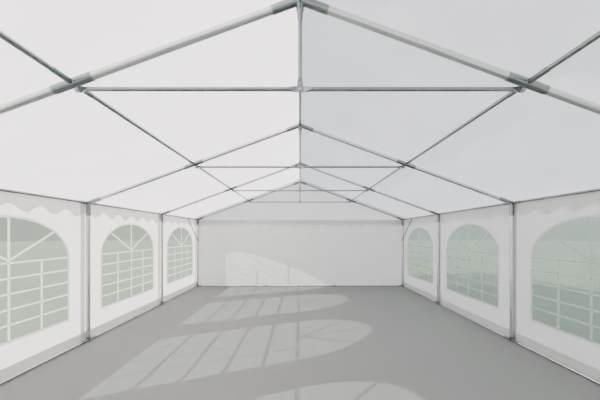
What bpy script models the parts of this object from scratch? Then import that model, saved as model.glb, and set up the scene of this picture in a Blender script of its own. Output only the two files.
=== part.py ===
"""Marquee tent, 6 m by 8 m: five portal frames of galvanised steel tube, a sheet roof with a
scalloped edge, and sheet walls with arched clear windows.

Metres, +Z up. The origin is on the ground at the centre of the plan. +Y runs along the ridge
from the doorway at the front to the closed wall at the back, and +X points to the right.
"""

import math

import bmesh
import bpy
from mathutils import Vector

# Overall layout, measured between tube axes
SPAN = 6.0
BAY = 2.0
BAYS = 4
EAVE_HEIGHT = 1.96
RIDGE_HEIGHT = 3.06
SLOPE_PURLIN_OFFSET = 1.5
GROUND_BAR_HEIGHT = 0.020

# Tubes, by outer diameter
MAIN_TUBE = 0.050
PURLIN_TUBE = 0.032
TIE_TUBE = 0.028
KING_TUBE = 0.027
BRACE_TUBE = 0.025

# Sleeves of the fittings: wall thickness, and length from the node they belong to
MAIN_SLEEVE_WALL = 0.0030
PURLIN_SLEEVE_WALL = 0.0027
POST_SLEEVE_LENGTH = 0.18
FOOT_SLEEVE_HEIGHT = 0.07
EAVE_SLEEVE_LENGTH = 0.19
RIDGE_SLEEVE_LENGTH = 0.20
SLOPE_SLEEVE_LENGTH = 0.275
PURLIN_SLEEVE_LENGTH = 0.15
BAR_SLEEVE_LENGTH = 0.12
TUBE_INSERTION = 0.11

# Tie beam, measured from the mid-slope fitting: inwards along X, and down from the rafter
TIE_INSET = 0.03
TIE_DROP = 0.051

# King post and tie beam ends
FLARE_WIDTH = 0.052
FLARE_HEIGHT = 0.045
KING_SLEEVE_WIDTH = 0.036
KING_SLEEVE_HEIGHT = 0.036
KING_TAPER_HEIGHT = 0.048
KING_END_HEIGHT = 0.036
LUG_THICKNESS = 0.006
LUG_RADIUS = 0.022
LUG_NECK_WIDTH = 0.035
TAB_THICKNESS = 0.005
TAB_HALF_HEIGHT = 0.012
TAB_END_RADIUS = 0.0132
TIE_END_SETBACK = 0.050
TIE_MIDDLE_HALF = 0.036

# Corner braces, measured down the post and along the eave purlin from their corner
BRACE_DROP = 0.60
BRACE_REACH = 0.66
BRACE_COLLAR_LENGTH = 0.04

# Joints in the ground bar along the back, from the middle
BACK_JOINT_OFFSET = 1.0

# Sheet parts
SHEET = 0.003
FILM = 0.002
WALL_LIFT = 0.002
WALL_TOP_DROP = 0.008
VALANCE_DROP = 0.195
SCALLOP_DEPTH = 0.080
SCALLOPS_PER_BAY = 6
SCALLOP_STEPS = 5

# Windows, one in each bay of both side walls. The foot of the arch is measured down from the eave
WINDOW_WIDTH = 1.405
WINDOW_SILL = 0.405
WINDOW_SPRING_DROP = 0.747
WINDOW_RISE = 0.474
WINDOW_ARC_STEPS = 14
FILM_MARGIN = 0.030

# Doorway in the front wall, with its door sheet rolled up inside
DOOR_WIDTH = 2.0
DOOR_HEAD_DROP = 0.12
ROLL_DIAMETER = 0.09
ROLL_SHORTFALL = 0.03

# Faceting, and the space between pieces that touch
TUBE_SIDES = 12
BAR_SIDES = 8
CLEARANCE = 0.0003
CUT_PAST = 0.02

# Worked out from the sizes above
LENGTH = BAY * BAYS
HALF_SPAN = SPAN / 2
HALF_LENGTH = LENGTH / 2
SLOPE = math.atan2(RIDGE_HEIGHT - EAVE_HEIGHT, HALF_SPAN)
RAFTER_LENGTH = math.hypot(HALF_SPAN, RIDGE_HEIGHT - EAVE_HEIGHT)
TIE_HALF_LENGTH = SLOPE_PURLIN_OFFSET - TIE_INSET
TIE_HEIGHT = RIDGE_HEIGHT - TIE_HALF_LENGTH * math.tan(SLOPE) - TIE_DROP
MAIN_RADIUS = MAIN_TUBE / 2
PURLIN_RADIUS = PURLIN_TUBE / 2
MAIN_SLEEVE_RADIUS = MAIN_RADIUS + CLEARANCE + MAIN_SLEEVE_WALL
PURLIN_SLEEVE_RADIUS = PURLIN_RADIUS + CLEARANCE + PURLIN_SLEEVE_WALL
WALL_INNER = MAIN_SLEEVE_RADIUS + CLEARANCE
WALL_OUTER = WALL_INNER + SHEET
COVER_INNER = WALL_OUTER + CLEARANCE
COVER_OUTER = COVER_INNER + SHEET
WALL_TOP = EAVE_HEIGHT - WALL_TOP_DROP
DOOR_HEAD = EAVE_HEIGHT - DOOR_HEAD_DROP
WINDOW_SPRING = EAVE_HEIGHT - WINDOW_SPRING_DROP
SCALLOP_PITCH = BAY / SCALLOPS_PER_BAY
SCALLOP_LOW = EAVE_HEIGHT - VALANCE_DROP
SCALLOP_HIGH = SCALLOP_LOW + SCALLOP_DEPTH

GALVANISED = ("galvanised_steel", (0.55, 0.57, 0.58, 1.0), 0.38, 0.9)
FITTING = ("galvanised_fitting", (0.62, 0.65, 0.67, 1.0), 0.45, 0.8)
ROOF_SHEET = ("white_roof_sheet", (0.86, 0.86, 0.85, 1.0), 0.55, 0.0)
WALL_SHEET = ("white_wall_sheet", (0.80, 0.80, 0.78, 1.0), 0.55, 0.0)
CLEAR_FILM = ("clear_window_film", (0.62, 0.72, 0.66, 0.35), 0.12, 0.0)


def clear_scene():
    """Removes what a new file starts with."""
    for item in list(bpy.data.objects):
        bpy.data.objects.remove(item, do_unlink=True)


def material(spec):
    """A Principled material from a name, a colour, a roughness and a metallic value."""
    name, colour, roughness, metallic = spec
    found = bpy.data.materials.get(name)
    if found:
        return found
    made = bpy.data.materials.new(name)
    made.use_nodes = True
    shader = made.node_tree.nodes["Principled BSDF"]
    shader.inputs["Base Color"].default_value = colour
    shader.inputs["Roughness"].default_value = roughness
    shader.inputs["Metallic"].default_value = metallic
    shader.inputs["Alpha"].default_value = colour[3]
    made.diffuse_color = colour
    return made


def solid(name, points, faces):
    """A mesh object from points and faces, with its faces turned outwards."""
    mesh = bpy.data.meshes.new(name)
    mesh.from_pydata([tuple(p) for p in points], [], faces)
    shape = bmesh.new()
    shape.from_mesh(mesh)
    bmesh.ops.recalc_face_normals(shape, faces=shape.faces)
    shape.to_mesh(mesh)
    shape.free()
    made = bpy.data.objects.new(name, mesh)
    bpy.context.collection.objects.link(made)
    return made


def swept(points, radius, sides=TUBE_SIDES):
    """A closed round bar along points that lie in one upright plane, mitred at its bends.
    Bars with few sides lie on a flat."""
    points = [Vector(p) for p in points]
    runs = [(b - a).normalized() for a, b in zip(points, points[1:])]
    across = Vector((1, 0, 0)) if abs(runs[0].y) > 0.1 else Vector((0, 1, 0))
    roll = math.pi / sides if sides == BAR_SIDES else 0.0
    ring_points = []
    for k, centre in enumerate(points):
        run = runs[min(k, len(runs) - 1)]
        cut = run + runs[max(k - 1, 0)]
        up = run.cross(across)
        for j in range(sides):
            turn = 2 * math.pi * j / sides + roll
            offset = radius * (math.cos(turn) * across + math.sin(turn) * up)
            offset -= run * (offset.dot(cut) / run.dot(cut))
            ring_points.append(centre + offset)
    return solid("shape", ring_points, ring_faces(len(points), sides))


def ring_faces(rings, sides):
    """The faces of a closed bar whose points are rings, one after the other."""
    last = sides * (rings - 1)
    faces = [list(range(sides)), list(range(last, last + sides))]
    for start in range(0, last, sides):
        for j in range(sides):
            after = (j + 1) % sides
            faces.append([start + j, start + after, start + sides + after, start + sides + j])
    return faces


def rod(start, end, radius, sides=TUBE_SIDES):
    """A straight closed round bar between two points."""
    return swept((start, end), radius, sides)


def turned(heights, radii, sides=TUBE_SIDES):
    """A closed upright bar at x = y = 0 whose radius changes with height."""
    points = []
    for z, radius in zip(heights, radii):
        for j in range(sides):
            turn = 2 * math.pi * j / sides
            points.append((radius * math.cos(turn), radius * math.sin(turn), z))
    return solid("shape", points, ring_faces(len(heights), sides))


def block(low, high, name="shape"):
    """A box between its lowest and highest corners."""
    points = [(x, y, z) for x in (low[0], high[0]) for y in (low[1], high[1]) for z in (low[2], high[2])]
    faces = [(0, 1, 3, 2), (4, 6, 7, 5), (0, 4, 5, 1), (2, 3, 7, 6), (0, 2, 6, 4), (1, 5, 7, 3)]
    return solid(name, points, faces)


def joined(base, tools, operation):
    """Applies Boolean steps of one kind to base and removes the tools."""
    if not tools:
        return base
    for tool in tools:
        step = base.modifiers.new(operation.lower(), "BOOLEAN")
        step.operation = operation
        step.solver = "EXACT"
        step.object = tool
    bpy.context.view_layer.update()
    graph = bpy.context.evaluated_depsgraph_get()
    result = bpy.data.meshes.new_from_object(base.evaluated_get(graph))
    base.modifiers.clear()
    base.data = result
    for tool in tools:
        bpy.data.objects.remove(tool, do_unlink=True)
    return base


def piece(name, adds, cuts, spec, parent=None, smooth=True):
    """Fuses adds, takes cuts out, names the result and gives it its material."""
    made = joined(adds[0], adds[1:], "UNION")
    made = joined(made, cuts, "DIFFERENCE")
    made.name = name
    made.data.name = name
    made.data.materials.clear()
    made.data.materials.append(material(spec))
    if smooth:
        made.data.shade_smooth()
        made.data.set_sharp_from_angle(angle=math.radians(40))
    if parent:
        made.parent = parent
    return made


def frame_empty(index):
    """The empty that carries one portal frame, with its neighbours' directions along Y."""
    made = bpy.data.objects.new("frame_%d" % (index + 1), None)
    made.location = (0, BAY * index - HALF_LENGTH, 0)
    bpy.context.collection.objects.link(made)
    neighbours = [turn for turn in (-1, 1) if 0 <= index + turn <= BAYS]
    return made, neighbours


def lengthwise_sleeves(node, neighbours, length):
    """Sleeves along Y for the tubes that run from frame to frame."""
    start = -length if -1 in neighbours else 0.0
    stop = length if 1 in neighbours else 0.0
    ends = [node + Vector((0, y, 0)) for y in (start, stop)]
    return [rod(ends[0], ends[1], PURLIN_SLEEVE_RADIUS, BAR_SIDES)]


def lengthwise_bore(node, neighbours, length):
    """The bore for a tube along Y: right through, or blind where the tube ends."""
    start = -length if -1 in neighbours else -CLEARANCE
    stop = length if 1 in neighbours else CLEARANCE
    low = node + Vector((0, start - (CUT_PAST if -1 in neighbours else 0), 0))
    high = node + Vector((0, stop + (CUT_PAST if 1 in neighbours else 0), 0))
    return [rod(low, high, PURLIN_RADIUS + CLEARANCE, BAR_SIDES)]


def post(side, index, empty, neighbours):
    """A post with its foot sleeve and its eave fitting. side is -1 on the left, 1 on the right."""
    x = side * HALF_SPAN
    eave = Vector((x, 0, EAVE_HEIGHT))
    foot = Vector((x, 0, GROUND_BAR_HEIGHT))
    up_slope = Vector((-side * math.cos(SLOPE), 0, math.sin(SLOPE)))
    sleeve_low = Vector((x, 0, EAVE_HEIGHT - POST_SLEEVE_LENGTH))
    socket_floor = EAVE_SLEEVE_LENGTH - TUBE_INSERTION - CLEARANCE
    adds = [
        rod((x, 0, 0), (x, 0, FOOT_SLEEVE_HEIGHT), MAIN_SLEEVE_RADIUS),
        rod((x, 0, FOOT_SLEEVE_HEIGHT / 2), (x, 0, EAVE_HEIGHT - POST_SLEEVE_LENGTH / 2), MAIN_RADIUS),
        swept((sleeve_low, eave, eave + EAVE_SLEEVE_LENGTH * up_slope), MAIN_SLEEVE_RADIUS),
    ]
    adds += lengthwise_sleeves(eave, neighbours, PURLIN_SLEEVE_LENGTH)
    adds += lengthwise_sleeves(foot, neighbours, BAR_SLEEVE_LENGTH)
    socket = rod(
        eave + socket_floor * up_slope,
        eave + (EAVE_SLEEVE_LENGTH + CUT_PAST) * up_slope,
        MAIN_RADIUS + CLEARANCE,
    )
    cuts = [socket]
    cuts += lengthwise_bore(eave, neighbours, PURLIN_SLEEVE_LENGTH)
    cuts += lengthwise_bore(foot, neighbours, BAR_SLEEVE_LENGTH)
    if len(neighbours) == 1:
        inward = Vector((-side, 0, 0))
        begin = PURLIN_SLEEVE_RADIUS + CLEARANCE
        stub_end = foot + BAR_SLEEVE_LENGTH * inward
        adds.append(rod(foot + begin * inward, stub_end, PURLIN_SLEEVE_RADIUS, BAR_SIDES))
        floor = MAIN_SLEEVE_RADIUS
        cuts.append(
            rod(
                foot + floor * inward,
                foot + (BAR_SLEEVE_LENGTH + CUT_PAST) * inward,
                PURLIN_RADIUS + CLEARANCE,
                BAR_SIDES,
            )
        )
    name = "post_%s_%d" % ("left" if side < 0 else "right", index + 1)
    return piece(name, adds, cuts, FITTING, empty)


def disc(centre, radius, low_y, high_y, sides=TUBE_SIDES):
    """A round plate that faces along Y."""
    x, z = centre
    return rod((x, low_y, z), (x, high_y, z), radius, sides)


def rafter(side, index, empty, neighbours):
    """A rafter from the eave socket to the ridge socket, with its mid-slope fitting and lug."""
    eave = Vector((side * HALF_SPAN, 0, EAVE_HEIGHT))
    up_slope = Vector((-side * math.cos(SLOPE), 0, math.sin(SLOPE)))
    middle_s = (HALF_SPAN - SLOPE_PURLIN_OFFSET) / math.cos(SLOPE)
    node = eave + middle_s * up_slope
    half_sleeve = SLOPE_SLEEVE_LENGTH / 2
    lug_x = side * TIE_HALF_LENGTH
    rafter_z = RIDGE_HEIGHT - TIE_HALF_LENGTH * math.tan(SLOPE)
    half_lug = LUG_THICKNESS / 2
    half_plate = half_lug - CLEARANCE
    half_neck = LUG_NECK_WIDTH / 2
    neck_top = rafter_z - MAIN_RADIUS / 2
    adds = [
        rod(
            eave + (EAVE_SLEEVE_LENGTH - TUBE_INSERTION) * up_slope,
            eave + (RAFTER_LENGTH - RIDGE_SLEEVE_LENGTH + TUBE_INSERTION) * up_slope,
            MAIN_RADIUS,
        ),
        rod(node - half_sleeve * up_slope, node + half_sleeve * up_slope, MAIN_SLEEVE_RADIUS),
        disc((lug_x, TIE_HEIGHT), LUG_RADIUS, -half_lug, half_lug),
        block((lug_x - half_neck, -half_plate, TIE_HEIGHT), (lug_x + half_neck, half_plate, neck_top)),
    ]
    adds += lengthwise_sleeves(node, neighbours, PURLIN_SLEEVE_LENGTH)
    cuts = lengthwise_bore(node, neighbours, PURLIN_SLEEVE_LENGTH)
    name = "rafter_%s_%d" % ("left" if side < 0 else "right", index + 1)
    return piece(name, adds, cuts, GALVANISED, empty)


def king_post(index, empty, neighbours):
    """The ridge fitting with the king post that hangs from it to the tie beam."""
    ridge = Vector((0, 0, RIDGE_HEIGHT))
    ends = []
    cuts = []
    for side in (-1, 1):
        down = Vector((side * math.cos(SLOPE), 0, -math.sin(SLOPE)))
        ends.append(ridge + RIDGE_SLEEVE_LENGTH * down)
        cuts.append(
            rod(
                ridge + (RIDGE_SLEEVE_LENGTH - TUBE_INSERTION - CLEARANCE) * down,
                ridge + (RIDGE_SLEEVE_LENGTH + CUT_PAST) * down,
                MAIN_RADIUS + CLEARANCE,
            )
        )
    adds = [swept((ends[0], ridge, ends[1]), MAIN_SLEEVE_RADIUS)]
    adds += lengthwise_sleeves(ridge, neighbours, PURLIN_SLEEVE_LENGTH)
    cuts += lengthwise_bore(ridge, neighbours, PURLIN_SLEEVE_LENGTH)
    flare_top = RIDGE_HEIGHT - PURLIN_RADIUS
    flare_low = flare_top - FLARE_HEIGHT
    sleeve_low = flare_low - KING_SLEEVE_HEIGHT
    taper_low = sleeve_low - KING_TAPER_HEIGHT
    tube_low = TIE_HEIGHT + KING_END_HEIGHT
    tab_low = LUG_THICKNESS / 2 + CLEARANCE
    tab_high = tab_low + TAB_THICKNESS
    flare, sleeve, tube = FLARE_WIDTH / 2, KING_SLEEVE_WIDTH / 2, KING_TUBE / 2
    adds += [
        turned((flare_top, flare_low, sleeve_low, taper_low, tube_low), (flare, sleeve, sleeve, tube, tube)),
        block((-TAB_HALF_HEIGHT, tab_low, TIE_HEIGHT), (TAB_HALF_HEIGHT, tab_high, tube_low + KING_TUBE)),
        disc((0, TIE_HEIGHT), TAB_END_RADIUS, tab_low + CLEARANCE, tab_high - CLEARANCE),
    ]
    return piece("king_post_%d" % (index + 1), adds, cuts, FITTING, empty)


def tie_beam(index, empty):
    """The tie beam: two tubes with flattened ends that lie on the lugs and at the king post."""
    half_lug = LUG_THICKNESS / 2
    tab_low = half_lug + CLEARANCE
    tab_high = tab_low + TAB_THICKNESS
    tube_end = TIE_HALF_LENGTH - TIE_END_SETBACK
    adds = [
        block(
            (-TIE_MIDDLE_HALF - TIE_TUBE, -half_lug, TIE_HEIGHT - TAB_HALF_HEIGHT),
            (TIE_MIDDLE_HALF + TIE_TUBE, half_lug, TIE_HEIGHT + TAB_HALF_HEIGHT),
        )
    ]
    for side in (-1, 1):
        start, stop = (side * TIE_MIDDLE_HALF, 0, TIE_HEIGHT), (side * tube_end, 0, TIE_HEIGHT)
        adds.append(rod(start, stop, TIE_TUBE / 2, BAR_SIDES))
        inner, outer = sorted((side * (tube_end - TIE_TUBE), side * TIE_HALF_LENGTH))
        tab_foot, tab_top = TIE_HEIGHT - TAB_HALF_HEIGHT, TIE_HEIGHT + TAB_HALF_HEIGHT
        adds.append(block((inner, tab_low, tab_foot), (outer, tab_high, tab_top)))
        centre = (side * TIE_HALF_LENGTH, TIE_HEIGHT)
        adds.append(disc(centre, TAB_END_RADIUS, tab_low + CLEARANCE, tab_high - CLEARANCE))
    return piece("tie_beam_%d" % (index + 1), adds, [], GALVANISED, empty)


def purlin(name, x, z):
    """A line of tubes along the tent, from the first frame to the last."""
    tube = rod((x, -HALF_LENGTH, z), (x, HALF_LENGTH, z), PURLIN_RADIUS, BAR_SIDES)
    return piece(name, [tube], [], GALVANISED)


def corner_brace(side, end):
    """A brace from a corner post up to the eave purlin, with a collar on each of them."""
    x = side * HALF_SPAN
    post_y = end * HALF_LENGTH
    purlin_y = post_y - end * BRACE_REACH
    low = Vector((x, post_y, EAVE_HEIGHT - BRACE_DROP))
    high = Vector((x, purlin_y, EAVE_HEIGHT))
    along = (high - low).normalized()
    half = BRACE_COLLAR_LENGTH / 2
    past = half + MAIN_TUBE + CUT_PAST
    adds = [
        rod(low + MAIN_RADIUS * along, high - PURLIN_RADIUS * along, BRACE_TUBE / 2, BAR_SIDES),
        rod(low - Vector((0, 0, half)), low + Vector((0, 0, half)), MAIN_SLEEVE_RADIUS),
        rod(high - Vector((0, half, 0)), high + Vector((0, half, 0)), PURLIN_SLEEVE_RADIUS, BAR_SIDES),
    ]
    cuts = [
        rod(low - Vector((0, 0, past)), low + Vector((0, 0, past)), MAIN_RADIUS + CLEARANCE),
        rod(high - Vector((0, past, 0)), high + Vector((0, past, 0)), PURLIN_RADIUS + CLEARANCE, BAR_SIDES),
    ]
    name = "corner_brace_%s_%s" % ("front" if end < 0 else "back", "left" if side < 0 else "right")
    return piece(name, adds, cuts, GALVANISED)


def cross_bar(name, y, start_x, stop_x, joints=()):
    """A ground bar across the tent, with a sleeve where two of its tubes join."""
    z = GROUND_BAR_HEIGHT
    half = BAR_SLEEVE_LENGTH / 2
    adds = [rod((start_x, y, z), (stop_x, y, z), PURLIN_RADIUS, BAR_SIDES)]
    for x in joints:
        adds.append(rod((x - half, y, z), (x + half, y, z), PURLIN_SLEEVE_RADIUS, BAR_SIDES))
    return piece(name, adds, [], GALVANISED)


def ground_bars():
    """The bars on the ground: both sides, the back, and the front beside the doorway."""
    for side, word in ((-1, "left"), (1, "right")):
        purlin("ground_bar_%s" % word, side * HALF_SPAN, GROUND_BAR_HEIGHT)
        start = side * (HALF_SPAN - MAIN_SLEEVE_RADIUS - CLEARANCE)
        cross_bar("ground_bar_front_%s" % word, -HALF_LENGTH, start, side * DOOR_WIDTH / 2)
    reach = HALF_SPAN - MAIN_SLEEVE_RADIUS - CLEARANCE
    cross_bar("ground_bar_back", HALF_LENGTH, -reach, reach, (-BACK_JOINT_OFFSET, BACK_JOINT_OFFSET))


def scallop_height(distance):
    """Height of the valance's lower edge: a cosine wave, highest at the middle and at each frame."""
    middle = (SCALLOP_LOW + SCALLOP_HIGH) / 2
    swing = (SCALLOP_HIGH - SCALLOP_LOW) / 2
    return middle + swing * math.cos(2 * math.pi * distance / SCALLOP_PITCH)


def cover_ring(half_x, half_y, count_x, count_y):
    """Points round the valance's lower edge, one straight side after the other."""
    sides = [
        ((-half_x, -half_y), (half_x, -half_y), count_x),
        ((half_x, -half_y), (half_x, half_y), count_y),
        ((half_x, half_y), (-half_x, half_y), count_x),
        ((-half_x, half_y), (-half_x, -half_y), count_y),
    ]
    points = []
    starts = []
    for (x0, y0), (x1, y1), count in sides:
        starts.append(len(points))
        for k in range(count):
            x = x0 + (x1 - x0) * k / count
            y = y0 + (y1 - y0) * k / count
            along = x if y0 == y1 else y
            outer_along = along / (half_x if y0 == y1 else half_y)
            full = (HALF_SPAN if y0 == y1 else HALF_LENGTH) + COVER_OUTER
            points.append((x, y, scallop_height(outer_along * full)))
    return points, starts


def roof_cover():
    """The roof sheet: two slopes, two gables and a scalloped valance round all four sides."""
    count_x = round(2 * (HALF_SPAN + COVER_OUTER) / SCALLOP_PITCH * SCALLOP_STEPS)
    count_y = round(2 * (HALF_LENGTH + COVER_OUTER) / SCALLOP_PITCH * SCALLOP_STEPS)
    points = []
    faces = []
    rings = []
    inner_rise = (MAIN_SLEEVE_RADIUS + CLEARANCE) / math.cos(SLOPE)
    outer_rise = inner_rise + SHEET / math.cos(SLOPE)
    for offset, rise in ((COVER_OUTER, outer_rise), (COVER_INNER, inner_rise)):
        half_x = HALF_SPAN + offset
        half_y = HALF_LENGTH + offset
        base = len(points)
        edge, starts = cover_ring(half_x, half_y, count_x, count_y)
        points += edge
        total = len(edge)
        rings.append((base, total))
        eave_z = RIDGE_HEIGHT + rise - half_x * math.tan(SLOPE)
        apex_z = RIDGE_HEIGHT + rise
        top = len(points)
        points += [
            (-half_x, -half_y, eave_z),
            (half_x, -half_y, eave_z),
            (half_x, half_y, eave_z),
            (-half_x, half_y, eave_z),
            (0, -half_y, apex_z),
            (0, half_y, apex_z),
        ]
        corner = [base + s for s in starts] + [base]
        lower = [list(range(corner[k], base + total if k == 3 else corner[k + 1])) for k in range(4)]
        front = lower[0] + [corner[1], top + 1, top + 4, top]
        right = lower[1] + [corner[2], top + 2, top + 1]
        back = lower[2] + [corner[3], top + 3, top + 5, top + 2]
        left = lower[3] + [corner[4], top, top + 3]
        slopes = [[top, top + 4, top + 5, top + 3], [top + 1, top + 2, top + 5, top + 4]]
        faces += [front, right, back, left] + slopes
    (outer, total), (inner, _) = rings
    for k in range(total):
        after = (k + 1) % total
        faces.append([outer + k, outer + after, inner + after, inner + k])
    cover = solid("roof_cover", points, faces)
    return piece("roof_cover", [cover], [], ROOF_SHEET, smooth=False)


def window_outline():
    """The outline of a window about its middle: a sill, two sides and half an ellipse on top."""
    half = WINDOW_WIDTH / 2
    outline = [(-half, WINDOW_SILL), (half, WINDOW_SILL)]
    for k in range(WINDOW_ARC_STEPS + 1):
        turn = math.pi * k / WINDOW_ARC_STEPS
        outline.append((half * math.cos(turn), WINDOW_SPRING + WINDOW_RISE * math.sin(turn)))
    return outline


def window_cutter(x, y):
    """A prism along X through the wall at x, with the outline of a window centred at y."""
    outline = window_outline()
    count = len(outline)
    points = [(x + past, y + a, z) for past in (-CUT_PAST, CUT_PAST) for a, z in outline]
    faces = [list(range(count)), list(range(count, 2 * count))]
    for k in range(count):
        after = (k + 1) % count
        faces.append([k, after, count + after, count + k])
    return solid("window_cutter", points, faces)


def between(side, inner, outer):
    """The low and high ends of a span that lies side times the two distances."""
    return sorted((side * inner, side * outer))


def side_wall(side, word):
    """A side wall with its windows cut through, and the clear film that closes them outside."""
    low_x, high_x = between(side, HALF_SPAN + WALL_INNER, HALF_SPAN + WALL_OUTER)
    half_y = HALF_LENGTH + WALL_INNER - CLEARANCE
    wall = block((low_x, -half_y, WALL_LIFT), (high_x, half_y, WALL_TOP))
    middles = [BAY * (k + 0.5) - HALF_LENGTH for k in range(BAYS)]
    cutters = [window_cutter((low_x + high_x) / 2, y) for y in middles]
    piece("side_wall_%s" % word, [wall], cutters, WALL_SHEET, smooth=False)
    film_x = HALF_SPAN + WALL_OUTER + CLEARANCE
    low_x, high_x = between(side, film_x, film_x + FILM)
    reach = WINDOW_WIDTH / 2 + FILM_MARGIN
    low = (low_x, middles[0] - reach, WINDOW_SILL - FILM_MARGIN)
    high = (high_x, middles[-1] + reach, WINDOW_SPRING + WINDOW_RISE + FILM_MARGIN)
    piece("window_film_%s" % word, [block(low, high)], [], CLEAR_FILM, smooth=False)


def end_walls():
    """The closed back wall, and the front wall in three sheets round the doorway."""
    half_x = HALF_SPAN + WALL_OUTER
    low_y, high_y = HALF_LENGTH + WALL_INNER, HALF_LENGTH + WALL_OUTER
    back = block((-half_x, low_y, WALL_LIFT), (half_x, high_y, WALL_TOP))
    piece("back_wall", [back], [], WALL_SHEET, smooth=False)
    half_door = DOOR_WIDTH / 2
    for side, word in ((-1, "left"), (1, "right")):
        low_x, high_x = between(side, half_door, half_x)
        sheet = block((low_x, -high_y, WALL_LIFT), (high_x, -low_y, WALL_TOP))
        piece("front_wall_%s" % word, [sheet], [], WALL_SHEET, smooth=False)
    reach = half_door - CLEARANCE
    header = block((-reach, -high_y, DOOR_HEAD), (reach, -low_y, WALL_TOP))
    piece("front_wall_header", [header], [], WALL_SHEET, smooth=False)


def door_roll():
    """The door sheet of the front wall, rolled up and tied against the header's inner face."""
    radius = ROLL_DIAMETER / 2
    y = -HALF_LENGTH - WALL_INNER + CLEARANCE + radius
    z = (DOOR_HEAD + WALL_TOP) / 2
    reach = DOOR_WIDTH / 2 - ROLL_SHORTFALL
    piece("door_roll", [rod((-reach, y, z), (reach, y, z), radius)], [], WALL_SHEET)


def build():
    """Makes every piece of the tent."""
    clear_scene()
    for index in range(BAYS + 1):
        empty, neighbours = frame_empty(index)
        for side in (-1, 1):
            post(side, index, empty, neighbours)
            rafter(side, index, empty, neighbours)
        king_post(index, empty, neighbours)
        tie_beam(index, empty)
    purlin("ridge_purlin", 0, RIDGE_HEIGHT)
    slope_z = RIDGE_HEIGHT - SLOPE_PURLIN_OFFSET * math.tan(SLOPE)
    for side, word in ((-1, "left"), (1, "right")):
        purlin("slope_purlin_%s" % word, side * SLOPE_PURLIN_OFFSET, slope_z)
        purlin("eave_purlin_%s" % word, side * HALF_SPAN, EAVE_HEIGHT)
        side_wall(side, word)
        for end in (-1, 1):
            corner_brace(side, end)
    ground_bars()
    roof_cover()
    end_walls()
    door_roll()


build()
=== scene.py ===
"""Marquee tent, 6 m by 8 m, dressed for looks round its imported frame.

Metres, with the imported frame's axes: +X to the right, +Y from the doorway to the closed back wall,
+Z up, and the ground at Z = 0. Every mesh keeps its place in its own points.
"""

import math
from functools import partial

import bpy
import numpy as np
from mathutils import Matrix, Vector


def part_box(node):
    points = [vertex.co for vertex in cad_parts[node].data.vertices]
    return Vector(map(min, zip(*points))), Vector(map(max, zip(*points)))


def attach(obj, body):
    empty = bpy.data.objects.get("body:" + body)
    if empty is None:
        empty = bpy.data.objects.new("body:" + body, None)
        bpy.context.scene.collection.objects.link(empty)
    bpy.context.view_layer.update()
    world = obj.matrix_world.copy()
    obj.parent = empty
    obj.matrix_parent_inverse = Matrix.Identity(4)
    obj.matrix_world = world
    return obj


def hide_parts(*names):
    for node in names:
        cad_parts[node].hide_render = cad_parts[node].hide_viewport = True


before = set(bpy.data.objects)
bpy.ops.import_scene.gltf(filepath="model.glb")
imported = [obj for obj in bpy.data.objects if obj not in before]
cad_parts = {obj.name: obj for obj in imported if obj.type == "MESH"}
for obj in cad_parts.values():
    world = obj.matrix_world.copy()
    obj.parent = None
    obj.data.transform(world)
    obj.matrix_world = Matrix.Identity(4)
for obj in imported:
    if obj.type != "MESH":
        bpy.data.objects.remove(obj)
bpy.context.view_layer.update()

bl_info = {
    "name": "Marquee tent",
    "version": (1, 0, 0),
    "blender": (4, 5, 0),
    "location": "3D View > Sidebar > Marquee",
    "description": "Builds the steel, the sheets and the windows of a marquee tent round its frame",
    "category": "Object",
}

LEFT, RIGHT = -1, 1
FRONT, BACK = -1, 1
SIDE_WORD = {LEFT: "left", RIGHT: "right"}
END_WORD = {FRONT: "front", BACK: "back"}
ALONG_Y, UP = np.array((0.0, 1.0, 0.0)), np.array((0.0, 0.0, 1.0))


def hex_colour(code):
    """Linear colour from an sRGB hex code: c / 12.92 below 0.04045, else ((c + 0.055) / 1.055) ^ 2.4."""
    parts = [int(code[k : k + 2], 16) / 255 for k in (1, 3, 5)]
    return tuple(c / 12.92 if c <= 0.04045 else ((c + 0.055) / 1.055) ** 2.4 for c in parts)


def middle(node, axis):
    """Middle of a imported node's box along one axis."""
    low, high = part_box(node)
    return (low[axis] + high[axis]) / 2


# The layout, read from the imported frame
HALF_SPAN = middle("eave_purlin_right", 0)
HALF_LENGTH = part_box("ridge_purlin")[1][1]
EAVE_Z = middle("eave_purlin_left", 2)
RIDGE_Z = middle("ridge_purlin", 2)
SLOPE_X = middle("slope_purlin_right", 0)
SLOPE_Z = middle("slope_purlin_right", 2)
TIE_Z = middle("tie_beam_1", 2)
BAR_Z = middle("ground_bar_left", 2)
FRAME_COUNT = sum(1 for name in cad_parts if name.startswith("king_post_"))
BAY = 2 * HALF_LENGTH / (FRAME_COUNT - 1)
FRAME_YS = [BAY * k - HALF_LENGTH for k in range(FRAME_COUNT)]
SLOPE = math.atan2(RIDGE_Z - EAVE_Z, HALF_SPAN)
RAFTER_LENGTH = math.hypot(HALF_SPAN, RIDGE_Z - EAVE_Z)
WALL_FOOT, WALL_TOP = (corner[2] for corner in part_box("back_wall"))
TIE_BOLT_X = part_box("tie_beam_1")[1][0] - 0.0132  # the bolt stands this far inside the tie's end

# How far the fittings reach from the point where the tubes' axes meet, and where the tubes stop
EAVE_LEG, EAVE_ARM, RIDGE_ARM, SLOPE_ARM = 0.18, 0.19, 0.20, 0.1375
STUB, FOOT_STUB, FOOT_SLEEVE = 0.15, 0.12, 0.07
TUBE_STOP, RAFTER_FOOT_STOP, RAFTER_HEAD_STOP = 0.03, 0.08, 0.09

# A pressed tube end's width, half a lug's width, a sleeve's slack round its tube, a bead's points
PRESSED_WIDTH, LUG_HALF, SOCKET_GAP, BEAD_POINTS = 0.041, 0.0225, 0.0003, 96

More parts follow.
